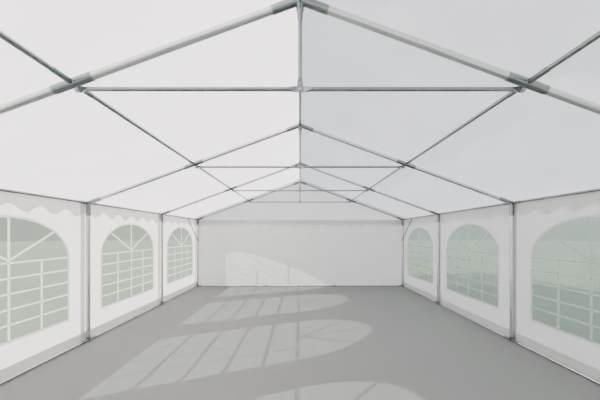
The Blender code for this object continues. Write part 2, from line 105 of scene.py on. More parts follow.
# The king post's collar: distances below its top, and its radii there
COLLAR_DOWN = (0.0, 0.049, 0.052, 0.054, 0.056, 0.061, 0.065, 0.098, 0.104, 0.124, 0.130, 0.150)
COLLAR_RADII = (0.025, 0.0256, 0.026, 0.0258, 0.024, 0.0208, 0.0196, 0.0192, 0.0184, 0.0146, 0.0138, 0.0136)

# How far the sheets lie outside the tubes' axes, the radius of their bend at the eave, how far the
# walls' ends pass the corner axes, and how far a pane laps the sheet round its opening
SHEET_LIFT, VALANCE_OUT, WALL_OUT, EAVE_ROUND = 0.0300, 0.0334, 0.0295, 0.014
SIDE_WALL_PAST, END_WALL_PAST, FILM_LAP = 0.0280, 0.0310, 0.026
HALF_WIDTH, HALF_END = HALF_SPAN + VALANCE_OUT, HALF_LENGTH + VALANCE_OUT
VALANCE_ROWS = 7

# How far doubled parts, films and bars lie outside the middle of the sheet that carries them
BAND_OUT, FILM_OUT, STRIP_OUT, HEM_OUT, END_HEM_OUT = 0.0009, 0.0010, 0.0011, 0.0021, 0.0011
ROW_BAR_OUT, COLUMN_BAR_OUT, SPOKE_OUT, BAR_PAST = -0.0009, -0.0016, -0.0023, 0.012

# Where a post strip starts from its post's middle, and the furthest that it ends past it. On the right wall
# the strip is moved to lie beside and behind its post, where it paints the post's shade on the wall.
STRIP_AND_SHADE_START, STRIP_LIMIT = {LEFT: -0.100, RIGHT: -0.055}, 0.026

# The door roll: its ties' places, how flat it lies front to back, and how far a tie draws it in
TIE_XS = np.array([-0.72, 0.0, 0.72])
ROLL_FLAT, TIE_PINCH = 0.96, 0.10

# Lengths of the seeded waves in the sheets
ROOF_WAVES = {LEFT: (0.31, 0.47, 0.73, 1.1), RIGHT: (0.33, 0.45, 0.71, 1.2)}
GABLE_WAVES, VALANCE_WAVES, ROLL_WAVES = (0.35, 0.6, 1.1), (0.55, 0.9, 1.7), (0.2, 0.33)
SIDE_WALL_WAVES, END_WALL_WAVES = (0.42, 0.65, 1.3), (0.55, 0.8, 1.5)


def length_prop(name, description, default):
    """A length in metres for a property group."""
    return bpy.props.FloatProperty(name=name, description=description, default=default, unit="LENGTH")


def count_prop(name, description, default, least=1):
    """A whole number for a property group."""
    return bpy.props.IntProperty(name=name, description=description, default=default, min=least)


def strength_prop(name, description, default):
    """A plain number for a property group."""
    return bpy.props.FloatProperty(name=name, description=description, default=default)


def colour_prop(name, description, code):
    """A colour for a property group, from its sRGB hex code."""
    return bpy.props.FloatVectorProperty(
        name=name, description=description, default=hex_colour(code), subtype="COLOR", min=0, max=1
    )


class MarqueeSteel(bpy.types.PropertyGroup):
    """Sizes of the tubes and fittings."""

    main_tube: length_prop("Main tube", "Outer diameter of the posts and rafters", 0.050)
    purlin_tube: length_prop("Purlin tube", "Outer diameter of the lengthwise tubes", 0.032)
    tie_tube: length_prop("Tie tube", "Outer diameter of the tie beams", 0.028)
    king_tube: length_prop("King tube", "Outer diameter of the king posts", 0.027)
    brace_tube: length_prop("Brace tube", "Outer diameter of the corner braces", 0.025)
    sleeve_wall: length_prop("Sleeve wall", "Wall of the sleeves, with the slack round the tube", 0.0033)
    weld: length_prop("Weld", "Width of a weld bead", 0.0052)
    facets: count_prop("Facets", "Points round a tube", 32, 12)


class MarqueeSheets(bpy.types.PropertyGroup):
    """Sizes of the sheets."""

    thickness: length_prop("Thickness", "Thickness of the coated sheet", 0.0008)
    mesh_step: length_prop("Mesh step", "Distance between the points of a sheet", 0.040)
    valance_drop: length_prop("Valance drop", "Height of the valance below the eave axis", 0.195)
    scallop_depth: length_prop("Scallop depth", "Depth of the waves in the valance's lower edge", 0.080)
    scallops: count_prop("Scallops", "Waves in each bay", 6)
    hem: length_prop("Foot hem", "Height of the doubled hem at the foot of a wall", 0.140)
    # On the right wall the post strip also paints the post's shade beside it.
    strip: length_prop("Post strip", "Width of the doubled strip beside each post", 0.080)
    end_band: length_prop("End band", "Width of the doubled band at each end of the roof", 0.380)
    slack: length_prop("Slack", "How far the roof sheet may hang between two tubes", 0.012)


class MarqueeWindows(bpy.types.PropertyGroup):
    """Sizes of the arched windows and the doorway."""

    width: length_prop("Width", "Width of a window", 1.405)
    sill: length_prop("Sill", "Height of a window's lower edge", 0.405)
    spring: length_prop("Spring line", "Height where the arch begins", 1.213)
    rise: length_prop("Rise", "Height of the arch", 0.474)
    columns: count_prop("Columns", "Panes across", 4)
    rows: count_prop("Rows", "Panes up to the spring line", 5)
    column_bar: length_prop("Upright bar", "Width of the upright white bars and the spokes", 0.024)
    row_bar: length_prop("Level bar", "Width of the level white bars", 0.019)
    film: length_prop("Film", "Thickness of the clear film", 0.0005)
    door_width: length_prop("Door width", "Width of the doorway", 2.0)
    door_head: length_prop("Door head", "Height of the doorway", 1.84)


class MarqueeColours(bpy.types.PropertyGroup):
    """Colours of the finishes."""

    tube: colour_prop("Tube", "Pre-galvanised tube", "#C9CECD")
    thin_tube: colour_prop("Thin tube", "Galvanised purlins, ties and braces", "#858C8B")
    fitting: colour_prop("Fitting", "Hot-dip galvanised fittings", "#7F8788")
    weld: colour_prop("Weld", "Galvanised weld beads", "#868E90")
    bolt: colour_prop("Bolt", "Zinc-plated bolts", "#BEC2C4")
    roof: colour_prop("Roof sheet", "Coated sheet of the roof", "#F5F4F5")
    wall: colour_prop("Wall sheet", "Coated sheet of the walls", "#F3F3F1")
    bar: colour_prop("Window bar", "Welded strips on the windows", "#F2F3EF")
    film: colour_prop("Window film", "Clear vinyl film", "#D8E3D9")
    webbing: colour_prop("Webbing", "Ties of the door roll", "#D9DADB")
    floor: colour_prop("Studio floor", "Pale floor of the studio", "#7D7E7C")


class MarqueeStudio(bpy.types.PropertyGroup):
    """Light and camera."""

    sun: strength_prop("Sun", "Strength of the sun lamp", 20.5)
    sun_size: bpy.props.FloatProperty(
        name="Sun size", description="Angle of the lamp's disc", default=math.radians(0.3), unit="ROTATION"
    )
    fill: strength_prop("Fill", "Strength of the soft lamp behind", 3.2)
    sky: strength_prop("Top light", "Strength of the surround overhead", 2.55)
    horizon: strength_prop("Horizon light", "Strength of the surround at the horizon", 0.92)
    lean: strength_prop("Lean", "How much brighter the surround is on the right", 0.50)
    eye: bpy.props.FloatVectorProperty(
        name="Eye", description="Place of the camera", default=(0.0, -3.75, 1.506), unit="LENGTH"
    )
    lens: strength_prop("Lens", "Focal length in millimetres", 15.88)


def steel():
    """The sizes of the steel."""
    return bpy.context.scene.marquee_steel


def sheets():
    """The sizes of the sheets."""
    return bpy.context.scene.marquee_sheets


def windows():
    """The sizes of the windows and the doorway."""
    return bpy.context.scene.marquee_windows


# Mesh work: whole arrays of points, and faces as blocks of equal length


def unit(vectors):
    """A vector, or each row of vectors, divided by its length."""
    vectors = np.asarray(vectors, float)
    return vectors / np.linalg.norm(vectors, axis=-1, keepdims=True)


def square_axes(axis):
    """Two unit vectors square to an axis: the level one, and the one square to both."""
    first = unit(np.cross(UP if abs(axis[2]) < 0.9 else ALONG_Y, axis))
    return first, np.cross(axis, first)


def around(first, second, count):
    """A circle's points, cos(t) * first + sin(t) * second, for count equal steps of t. Rows of
    vectors give a circle each."""
    t = np.linspace(0, 2 * math.pi, count, endpoint=False)[:, None]
    first, second = (np.asarray(axis, float)[..., None, :] for axis in (first, second))
    return np.cos(t) * first + np.sin(t) * second


def together(*values):
    """Arrays spread to one shape, as the last axis of one array."""
    return np.stack(np.broadcast_arrays(*values), axis=-1)


def grid_quads(rows, columns, round_rows=False, round_columns=False):
    """Faces of a grid: point (i, j) joins (i + 1, j), (i + 1, j + 1) and (i, j + 1). A round
    direction also joins its last points to its first."""
    i = np.arange(rows if round_rows else rows - 1)
    j = np.arange(columns if round_columns else columns - 1)
    i, j = (part.ravel() for part in np.meshgrid(i, j, indexing="ij"))
    i_next, j_next = (i + 1) % rows, (j + 1) % columns
    corners = (i * columns + j, i_next * columns + j, i_next * columns + j_next, i * columns + j_next)
    return np.stack(corners, axis=1)


def outward(points, blocks):
    """Turns a closed skin's faces outwards. Its volume is the sum over triangles of
    a . (b x c) / 6, which is negative while the faces point inwards."""
    about = points - points.mean(axis=0)
    volume = 0.0
    for block in blocks:
        first = about[block[:, 0]]
        for k in range(1, block.shape[1] - 1):
            volume += np.sum(first * np.cross(about[block[:, k]], about[block[:, k + 1]])) / 6
    return points, (blocks if volume > 0 else [block[:, ::-1] for block in blocks])


def skin(rings, loop=False):
    """A closed skin over rings of points, one after the other. Its two ends are flat faces, or
    with loop the last ring joins the first."""
    rings = np.asarray(rings, float)
    count, sides = rings.shape[:2]
    blocks = [grid_quads(count, sides, loop, True)]
    if not loop:
        blocks += [np.arange(sides)[None], np.arange(sides)[None, ::-1] + sides * (count - 1)]
    return outward(rings.reshape(-1, 3), blocks)


def turned(start, axis, profile, loop=False, sides=None):
    """A turned shape. With (d, r) along the profile and t round the axis,
    P = start + d * axis + r * (cos t * first + sin t * second)."""
    axis = unit(axis)
    profile = np.asarray(profile, float)[:, None]
    rim = around(*square_axes(axis), sides or steel().facets)
    return skin(start + profile[..., :1] * axis + profile[..., 1:] * rim, loop)


def tube(start, end, radius, bore=None):
    """A straight round tube with eased rims. Its ends are closed, or with a bore it is a hollow
    sleeve: a closed loop from the bore, over the rims and along the outside."""
    edge = 0.0006 if bore is None else 0.0007
    length = np.linalg.norm(np.subtract(end, start))
    profile = [(0, radius - edge), (edge, radius), (length - edge, radius), (length, radius - edge)]
    if bore is not None:
        profile = [(0, bore), *profile, (length, bore)]
    return turned(start, np.subtract(end, start), profile, loop=bore is not None)


def mitred_rings(path, radii_along):
    """Rings of a bar in an upright plane across the tent. Each ring is a circle square to its run,
    slid along the run onto the plane that halves the bend: offset - run * (offset . cut) / (run . cut)."""
    path = np.asarray(path, float)
    runs = unit(np.diff(path, axis=0))
    after = np.vstack([runs, runs[-1:]])
    cut = np.vstack([runs[:1], runs]) + after
    rim = around(ALONG_Y, np.cross(after, ALONG_Y), steel().facets)
    rim = rim * np.asarray(radii_along, float)[:, None, None]
    slide = np.einsum("ijk,ik->ij", rim, cut) / np.einsum("ik,ik->i", after, cut)[:, None]
    return path[:, None] + rim - slide[:, :, None] * after[:, None]


def bent_sleeve(start, knee, end, inner, outer, edge=0.0007):
    """A hollow sleeve of two runs that are mitred at the knee: rings out along the outside, and
    back along the bore."""
    path = [start, start + edge * unit(knee - start), knee, end - edge * unit(end - knee), end]
    outside = mitred_rings(path, [outer - edge, outer, outer, outer, outer - edge])
    bore = mitred_rings([start, knee, end], [inner] * 3)[::-1]
    return skin(np.vstack([outside, bore]), loop=True)


def weld_bead(path, width, ripple_count):
    """A weld bead along a closed path: circles of radius r = width / 2 * (1 + 0.16 cos(n t)), set
    square to the path, whose first axis points away from the path's middle. None goes below the
    ground."""
    along = unit(np.roll(path, -1, axis=0) - np.roll(path, 1, axis=0))
    away = path - path.mean(axis=0)
    away = unit(away - along * np.sum(away * along, axis=1)[:, None])
    place = np.linspace(0, 2 * math.pi, len(path), endpoint=False)
    radius = width / 2 * (1 + 0.16 * np.cos(ripple_count * place))
    rings = path[:, None] + radius[:, None, None] * around(away, np.cross(along, away), 8)
    rings[:, :, 2] = np.maximum(rings[:, :, 2], 0.0003)
    return skin(rings, loop=True)


def knee_bead(start, knee, end, radius):
    """A bead round the mitre of a bent sleeve, on four times as many points as its ring has."""
    ring = mitred_rings([start, knee, end], [radius] * 3)[1]
    fine = np.linspace(0, len(ring), 4 * len(ring), endpoint=False)
    closed = np.vstack([ring, ring[:1]])
    spread = [np.interp(fine, np.arange(len(closed)), closed[:, k]) for k in range(3)]
    return weld_bead(together(*spread), steel().weld, 34)


def saddle_bead(node, out, aside, up, small, big):
    """A bead where a small tube leaves a big one. For t round the small tube, with r and R the two
    radii: P = node + r * (cos t * aside + sin t * up) + sqrt(R^2 - (r cos t)^2) * out."""
    t = np.linspace(0, 2 * math.pi, BEAD_POINTS, endpoint=False)[:, None]
    reach = np.sqrt(big**2 - (small * np.cos(t)) ** 2)
    return weld_bead(node + (small * around(aside, up, BEAD_POINTS) + reach * out), steel().weld, 24)


def bolt(centre, axis, grip, across_flats=0.013):
    """A hexagon bolt through centre, with its head at the axis direction's start: a washer and a
    head with an eased rim, a washer and a nut, and the end of the thread."""
    axis = unit(axis)
    corner = across_flats / math.sqrt(3)
    head, washer, wide, eased = 0.0053, 0.0016, 0.0080, 0.0078
    near, far = np.asarray(centre) - axis * (grip / 2), np.asarray(centre) + axis * (grip / 2)
    nut = [(0, corner * 0.92), (0.0005, corner), (0.0060, corner), (0.0065, corner * 0.88)]
    rows = (
        (near - axis * washer, [(0, eased), (0.0002, wide), (washer, wide)], 24),
        (near - axis * (washer + head), [(0, corner * 0.86), (0.0007, corner), (head, corner)], 6),
        (far, [(0, wide), (washer - 0.0002, wide), (washer, eased)], 24),
        (far + axis * washer, nut, 6),
        (far + axis * (washer + 0.006), [(0, 0.0039), (0.0035, 0.0039), (0.0042, 0.0032)], 16),
    )
    return [turned(start, axis, profile, sides=sides) for start, profile, sides in rows]


def plate(outline, low_y, high_y, edge=0.0005):
    """A flat plate that faces along Y, from its outline in X and Z. Its rims are eased by drawing
    the outline towards its middle by edge."""
    centre = outline.mean(axis=0)
    inset = centre + (outline - centre) * (1 - edge / np.linalg.norm(outline - centre, axis=1)[:, None])
    rows = ((low_y, inset), (low_y + edge, outline), (high_y - edge, outline), (high_y, inset))
    return skin([np.insert(flat, 1, y, axis=1) for y, flat in rows])


def pressed_tube(path, radius, flat_y, flats=(0.046, 0.046), blend=0.055):
    """A tube in an upright plane across the tent, whose two ends are pressed flat and rounded. At
    distance s along it, the section is y = b * c(t), across = a * s(t), where c and s are cos and
    sin raised to a power that falls from 1 to 0.45 as the tube flattens. a goes from the radius to
    half of the pressed width, and b from the radius to half of the pressed thickness. Over the last
    half width, a follows a circle. flat_y and flats are the place along Y and the length of the two
    pressed ends, and an end of length 0 stays round."""
    start, end = (np.asarray(p, float) for p in path)
    length = np.linalg.norm(end - start)
    axis = (end - start) / length
    half, press = PRESSED_WIDTH / 2, 0.0026
    rim = half * (1 - np.cos(np.linspace(0, 1, 7) * math.pi / 2))

    def stations(flat):
        if not flat:
            return np.array([0.0])
        swell = flat + blend * np.linspace(0, 1, 9)[1:]
        return np.concatenate([rim, np.linspace(half, flat, 3)[1:], swell])

    def softened(x):
        x = np.clip(x, 0, 1)
        return x * x * (3 - 2 * x)

    s = np.concatenate([stations(flats[0]), length - stations(flats[1])[::-1]])
    ends = [(away, flat, y) for away, flat, y in zip((s, length - s), flats, flat_y)]
    shares = [softened((away - flat) / blend) if flat else np.ones_like(s) for away, flat, _ in ends]
    round_share = np.minimum(*shares)
    y = sum(flat_at * (1 - share) for (_, _, flat_at), share in zip(ends, shares))
    a = half + (radius - half) * round_share
    b = press / 2 + (radius - press / 2) * round_share
    for away, flat, _ in ends:
        if flat:
            a = np.where(away < half, np.sqrt(np.maximum(half**2 - (half - away) ** 2, 1e-7)), a)
    power = (0.45 + 0.55 * round_share)[:, None]
    t = np.linspace(0, 2 * math.pi, steel().facets, endpoint=False)
    cos_t, sin_t = (np.sign(wave) * np.abs(wave) ** power for wave in (np.cos(t), np.sin(t)))
    rings = start + s[:, None, None] * axis + (a[:, None] * sin_t)[:, :, None] * np.cross(ALONG_Y, axis)
    rings[:, :, 1] += b[:, None] * cos_t + y[:, None]
    return skin(rings)


def piece(name, groups, replaced=(), smooth=35, uv=None, body="root"):
    """Makes one object from groups of (shapes, material), where a shape is its points and its
    blocks of faces. It rides on a body and stands for the nodes that it replaces."""
    points, faces, marks, materials = [], [], [], []
    base = 0
    for shapes, material in groups:
        if material not in materials:
            materials.append(material)
        for shape_points, blocks in shapes:
            points.append(shape_points)
            for block in blocks:
                faces += (block + base).tolist()
                marks += [materials.index(material)] * len(block)
            base += len(shape_points)
    mesh = bpy.data.meshes.new(name)
    mesh.from_pydata(np.vstack(points).tolist(), [], faces)
    for material in materials:
        mesh.materials.append(material)
    mesh.polygons.foreach_set("material_index", np.array(marks, np.int32))
    if uv is not None:
        layer = mesh.uv_layers.new(name="cut")
        corner = np.empty(len(mesh.loops), np.int32)
        mesh.loops.foreach_get("vertex_index", corner)
        layer.data.foreach_set("uv", np.asarray(uv, np.float32)[corner].ravel())
    mesh.update()
    mesh.shade_smooth()
    mesh.set_sharp_from_angle(angle=math.radians(smooth))
    made = bpy.data.objects.new(name, mesh)
    bpy.context.scene.collection.objects.link(made)
    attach(made, body)
    if replaced:
        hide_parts(*replaced)
    return made


def steel_piece(node, slot, word="steel", **shapes):
    """The piece that stands for a steel node, from lists of shapes under the kinds of their finish."""
    groups = [(made, finish(kind)) for kind, made in shapes.items() if made]
    return piece("%s_%s" % (node, word), groups, [node])


def thickened(points, quads, uv, thickness):
    """A closed thin sheet from an open grid: the grid moved half the thickness each way along its
    normals, with a strip of faces along each free edge. A point's normal is the sum of the cross
    products of its faces' diagonals."""
    corner = points[quads]
    cross = np.cross(corner[:, 2] - corner[:, 0], corner[:, 3] - corner[:, 1])
    normals = np.zeros_like(points)
    for k in range(4):
        np.add.at(normals, quads[:, k], cross)
    normals /= np.maximum(np.linalg.norm(normals, axis=1), 1e-12)[:, None]
    count = len(points)
    both = np.vstack([points + normals * thickness / 2, points - normals * thickness / 2])
    edges = np.vstack([quads[:, [k, (k + 1) % 4]] for k in range(4)])
    key, back = edges[:, 0] * count + edges[:, 1], edges[:, 1] * count + edges[:, 0]
    free = edges[~np.isin(key, back)]
    rim = np.stack([free[:, 1], free[:, 0], free[:, 0] + count, free[:, 1] + count], axis=1)
    return outward(both, [quads, quads[:, ::-1] + count, rim]), np.vstack([uv, uv])


def sheet_piece(name, parts, kind, replaced=(), thickness=None):
    """A piece of closed thin sheets, from (points, quads, uv) parts."""
    made = [thickened(*part, thickness or sheets().thickness) for part in parts]
    uvs = np.vstack([uv for _, uv in made])
    return piece(name, [([shape for shape, _ in made], finish(kind))], replaced, 60, uvs)


# Shapes of the sheets


def ripples(u, v, seed, waves, depth):
    """Soft waves: the mean of sines whose directions and starts come from one seeded draw."""
    draw = np.random.default_rng(seed)
    total = np.zeros(np.broadcast(u, v).shape)
    for wave in waves:
        angle, start = draw.uniform(0, math.pi), draw.uniform(0, 2 * math.pi)
        total = total + np.sin(2 * math.pi * (u * math.cos(angle) + v * math.sin(angle)) / wave + start)
    return depth * total / len(waves)


def storage_folds(u, v, seed, pitch, depth, width=0.014):
    """Marks of the folds that the sheet was stored in: low ridges exp(-(d / width)^2) at distance d
    from lines a pitch apart in both directions, with heights and signs from one seeded draw."""
    draw = np.random.default_rng(seed)
    total = np.zeros(np.broadcast(u, v).shape)
    for along, other in ((u, v), (v, u)):
        start = draw.uniform(0.2, 0.8) * pitch
        first = math.floor((np.min(along) - start) / pitch)
        last = math.ceil((np.max(along) - start) / pitch)
        for k in range(first, last + 1):
            height, sway, phase = draw.uniform(-1, 1), draw.uniform(0.004, 0.012), draw.uniform(0, 6.28)
            line = start + k * pitch + sway * np.sin(other * 2.3 + phase)
            total = total + height * np.exp(-(((along - line) / width) ** 2))
    return depth * total


def scallop_pitch():
    """Width of one wave of the valance."""
    return BAY / sheets().scallops


def scallop_z(along):
    """Height of the valance's lower edge: low + depth / 2 * (1 + cos(2 pi d / pitch))."""
    low = EAVE_Z - sheets().valance_drop
    return low + sheets().scallop_depth / 2 * (1 + np.cos(2 * math.pi * along / scallop_pitch()))


def roof_ys():
    """Places along the roof's length, ten to a scallop, with both ends."""
    return np.linspace(-HALF_END, HALF_END, round(2 * HALF_END / scallop_pitch() * 10) + 1)


def roof_profile(step=None):
    """The right half of the roof's section, from the ridge down to the eave's lower tangent: an arc
    about the ridge axis, the straight slope, and an arc of radius e from the slope to the vertical.
    Returns its x and z, its normal's x and z, and the distance along it."""
    normal = np.array((math.sin(SLOPE), math.cos(SLOPE)))
    down = np.array((math.cos(SLOPE), -math.sin(SLOPE)))
    ridge = np.array((0.0, RIDGE_Z))
    angle = np.linspace(0, SLOPE, 5)
    ridge_normals = together(np.sin(angle), np.cos(angle))
    inner = ridge + (SHEET_LIFT - EAVE_ROUND) * normal
    reach = (HALF_WIDTH - EAVE_ROUND - inner[0]) / down[0]
    count = max(2, round(reach / (step or sheets().mesh_step)))
    run = np.linspace(0, reach, count + 1)[1:, None]
    angle = np.linspace(SLOPE, math.pi / 2, 7)[1:]
    eave_normals = together(np.sin(angle), np.cos(angle))
    arcs = ridge + SHEET_LIFT * ridge_normals, inner + reach * down + EAVE_ROUND * eave_normals
    line = np.vstack([arcs[0], ridge + SHEET_LIFT * normal + run * down, arcs[1]])
    normals = np.vstack([ridge_normals, np.tile(normal, (count, 1)), eave_normals])
    far = np.concatenate([[0], np.cumsum(np.linalg.norm(np.diff(line, axis=0), axis=1))])
    return line.T, normals.T, far


def roof_z(x):
    """Height of the roof's middle surface above x, read from its section."""
    (line_x, line_z), _, _ = roof_profile()
    return np.interp(np.abs(x), line_x, line_z)


def both_halves(half, sign=1):
    """A section's right half after its mirrored left half, which takes the sign."""
    return np.concatenate([sign * half[::-1], half[1:]])


def settled(far, ys, rounds=900):
    """How far the roof sheet lies below its highest plane. Every point moves to the mean of its four
    neighbours less a small load, again and again, and never below the tube under it, whose top is
    r - d^2 / (2 r) at distance d. The tubes are the rafters, their sleeves, and the thinner
    lengthwise tubes."""
    main, purlin = steel().main_tube / 2 + 0.0005, steel().purlin_tube / 2 + 0.0007
    slope_far = RAFTER_LENGTH - math.hypot(HALF_SPAN - SLOPE_X, SLOPE_Z - EAVE_Z)
    lines = {0.0: RIDGE_ARM, slope_far: SLOPE_ARM, RAFTER_LENGTH: EAVE_ARM}
    far_grid, y_grid = np.meshgrid(far, ys, indexing="ij")
    floor = np.full(far_grid.shape, SHEET_LIFT - sheets().slack - 0.012)

    def resting(floor, gap, top, near):
        return np.where(near, np.maximum(floor, top - gap**2 / (2 * top)), floor)

    for line in lines:
        gap = np.abs(far_grid - line)
        floor = resting(floor, gap, purlin, gap < 0.03)
    for y in FRAME_YS:
        gap = np.abs(y_grid - y)
        floor = resting(floor, gap, main, gap < 0.045)
        near_joint = np.any([np.abs(far_grid - line) < arm for line, arm in lines.items()], axis=0)
        top = SHEET_LIFT - 0.0010 - gap**2 / (2 * main)
        floor = np.where((gap < 0.03) & near_joint, np.maximum(floor, top), floor)
    height = np.full(far_grid.shape, SHEET_LIFT)
    load = sheets().slack * 0.012
    for _ in range(rounds):
        mean = (height[:-2, 1:-1] + height[2:, 1:-1] + height[1:-1, :-2] + height[1:-1, 2:]) / 4
        height[1:-1, 1:-1] = np.maximum(mean - load, floor[1:-1, 1:-1])
    return height - SHEET_LIFT


def valance_flare(along, end, seed):
    """How far a valance's lower edge stands out: a mean and slow waves, and nothing at its two
    ends, where it meets the next valance: sin(pi / 2 * d / 0.3) at distance d from an end."""
    near_end = np.sin(math.pi / 2 * np.clip((end - np.abs(along)) / 0.3, 0, 1))
    return near_end * (0.0100 + ripples(along, 0 * along, seed, VALANCE_WAVES, 0.0050))


def roof_grid(ys):
    """Points and UV of the whole roof sheet, in rows along its length: left valance, left slope,
    right slope, right valance. The settled depth is added along the section's normal, and a valance
    stands out by its flare * share^1.5."""
    (x, z), (nx, nz), far = roof_profile()
    sag = settled(far, ys)
    loose = np.clip(-sag / 0.004, 0, 1)
    foot = scallop_z(ys)[None]
    share = np.linspace(0, 1, VALANCE_ROWS + 1)[1:, None]
    hung = np.linspace(0, z[-1] - np.mean(foot), VALANCE_ROWS + 1)[1:]
    v = np.concatenate([far, far[-1] + hung])[:, None]
    halves = []
    for k, side in enumerate((LEFT, RIGHT)):
        wave = ripples(far[:, None], ys[None], 12 + k, ROOF_WAVES[side], 0.0016)
        fold = storage_folds(far[:, None], ys[None], 6 + k, 0.82, 0.0011)
        move = sag + loose * (wave + fold)
        flare = valance_flare(ys[None], HALF_END, 21 + side)
        px = side * np.vstack([x[:, None] + nx[:, None] * move, x[-1] + flare * share**1.5])
        pz = np.vstack([z[:, None] + nz[:, None] * move, z[-1] + (foot - z[-1]) * share])
        halves.append(together(px, pz, side * v))
    px, pz, v = np.moveaxis(np.concatenate([halves[0][::-1], halves[1][1:]]), -1, 0)
    return together(px, ys, pz), together(ys, v)


def band_grid(roof, roof_uv, ys, some_ys, lift):
    """The roof's slopes at other places along its length, read between the roof's own points, and
    lifted along the section's normal."""
    _, (nx, nz), _ = roof_profile()
    slopes = slice(VALANCE_ROWS, len(roof) - VALANCE_ROWS)
    at = np.interp(some_ys, ys, np.arange(len(ys)))
    low = np.clip(np.floor(at).astype(int), 0, len(ys) - 2)
    share = (at - low)[None, :, None]
    points = roof[slopes, low] * (1 - share) + roof[slopes, low + 1] * share
    points[:, :, 0] += lift * both_halves(nx, -1)[:, None]
    points[:, :, 2] += lift * both_halves(nz)[:, None]
    return points, together(some_ys, roof_uv[slopes, :1, 1])


def hanging(u, z, free, seed, slack, waves, depth, fold):
    """How far a wall stands in from its flat plane: its slack with soft waves and storage folds,
    times sin(pi z / top)^0.7 between its foot and its head, and times free, which is 0 where
    something beside it holds the wall and 1 where nothing does."""
    up = np.sin(math.pi * np.clip(z / WALL_TOP, 0, 1)) ** 0.7
    loose = slack + ripples(u, z, seed, waves, depth) + storage_folds(u, z, seed + 1, 0.66, fold)
    return free * up * np.maximum(loose, 0.0)


def on_side_wall(side, u, z, out=0.0):
    """Points on a side wall at distance u along it: x = side * (half span + wall distance + out -
    hang). The posts hold it, so that it is free by sin(pi d / bay)^2 at distance d from a post."""
    free = np.sin(math.pi * (u + HALF_LENGTH) / BAY) ** 2
    hang = hanging(u, z, free, 40 + side, 0.0030, SIDE_WALL_WAVES, 0.0022, 0.0007)
    return together(side * (HALF_SPAN + WALL_OUT + out - hang), u, z)


def on_end_wall(end, u, z, out=0.0):
    """Points on an end wall: y = end * (half length + wall distance + out - hang). Only the corners
    hold it, so that it is free by d / 0.35 at distance d from a corner, and by 1 further on."""
    free = np.clip((HALF_SPAN - np.abs(u)) / 0.35, 0, 1)
    hang = hanging(u, z, free, 50 + end, 0.0045, END_WALL_WAVES, 0.0035, 0.0009)
    return together(u, end * (HALF_LENGTH + WALL_OUT + out - hang), z)


def bay_panel(step):
    """A wall panel one bay wide round its window. Rays leave a point inside the window at sorted
    angles that include every corner. On each ray, row k lies at the window's edge plus a share of
    the way to the panel's edge. Returns u about the bay's middle, and z."""
    sizes = windows()
    half_w, half_bay = sizes.width / 2, BAY / 2
    heart = (sizes.sill + sizes.spring) / 2 + 0.12  # where the rays start: above the middle
    arc = np.linspace(0, math.pi, 57)
    side_z = np.linspace(sizes.sill, sizes.spring, 22)[1:-1]
    sill_u = np.linspace(-half_w, half_w, 38)
    marks = [(half_w * np.cos(arc), sizes.spring + sizes.rise * np.sin(arc)), (sill_u, sizes.sill)]
    marks += [(sx * half_w, side_z) for sx in (-1, 1)]
    marks += [(sx * half_bay, np.array((WALL_FOOT, WALL_TOP))) for sx in (-1, 1)]
    marks = np.vstack([together(u, z - heart) for u, z in marks])
    angle = np.unique(np.round(np.arctan2(marks[:, 1], marks[:, 0]), 9))
    ray_u, ray_z = np.cos(angle), np.sin(angle)

    def reach(goal, ray, lies):
        """How far along its ray each one meets a line, or infinity."""
        with np.errstate(divide="ignore", invalid="ignore"):
            return np.where(lies, goal / ray, np.inf)

    level = np.abs(ray_z) > 1e-9
    edge_z = np.where(ray_z > 0, WALL_TOP - heart, WALL_FOOT - heart)
    upright = np.abs(ray_u) > 1e-9
    outer = np.minimum(reach(half_bay, np.abs(ray_u), upright), reach(edge_z, ray_z, level))
    sill_t = reach(sizes.sill - heart, ray_z, ray_z < -1e-9)
    low_t = np.minimum(reach(half_w, np.abs(ray_u), upright), sill_t)
    drop = heart - sizes.spring
    a = (ray_u / half_w) ** 2 + (ray_z / sizes.rise) ** 2
    b = 2 * ray_z * drop / sizes.rise**2
    c = (drop / sizes.rise) ** 2 - 1
    arch_t = (-b + np.sqrt(np.maximum(b * b - 4 * a * c, 0))) / (2 * a)
    inner = np.where(heart + low_t * ray_z <= sizes.spring, low_t, arch_t)
    width = 0.36  # about how wide the sheet is between the window and the panel's edge
    share = np.linspace(0, 1, max(3, round(width / step)) + 1)[:, None]
    t = inner + (outer - inner) * share
    return t * ray_u, heart + t * ray_z


def welded(points, quads, uv, span=1e-5):
    """Joins points that share a place, rounded to span, and keeps the first one's UV."""
    key = np.round(points / span).astype(np.int64)
    _, first, place = np.unique(key, axis=0, return_index=True, return_inverse=True)
    return points[first], place.reshape(-1)[quads], uv[first]


def grid_part(points, uv, round_columns=False):
    """Flat lists of points and UV, and the faces between them, from a grid of each."""
    quads = grid_quads(*points.shape[:2], False, round_columns)
    return points.reshape(-1, 3), quads, uv.reshape(-1, 2)


def wall_part(u, z, place, out=0.0):
    """A grid over a wall from arrays of u and z, which are its UV in metres too."""
    return grid_part(place(u, z, out), together(u, z))


def ribbon(start, end, width, place, out, step=0.04):
    """A flat strip of a given width on a wall, from start to end, with points about a step apart:
    path + side * width / 2 * normal, with the normal square to the path in the wall."""
    start, end = np.asarray(start, float), np.asarray(end, float)
    count = max(2, round(np.linalg.norm(end - start) / step) + 1)
    path = start + (end - start) * np.linspace(0, 1, count)[:, None]
    along = unit(np.gradient(path, axis=0))
    normal = together(-along[:, 1], along[:, 0])
    flat = path[:, None] + np.linspace(-0.5, 0.5, 3)[None, :, None] * width * normal[:, None]
    return wall_part(flat[..., 0], flat[..., 1], place, out)


# Finishes

MIX = {"data_type": "RGBA"}
MULTIPLY, SOFT_LIGHT = dict(MIX, blend_type="MULTIPLY"), dict(MIX, blend_type="SOFT_LIGHT")


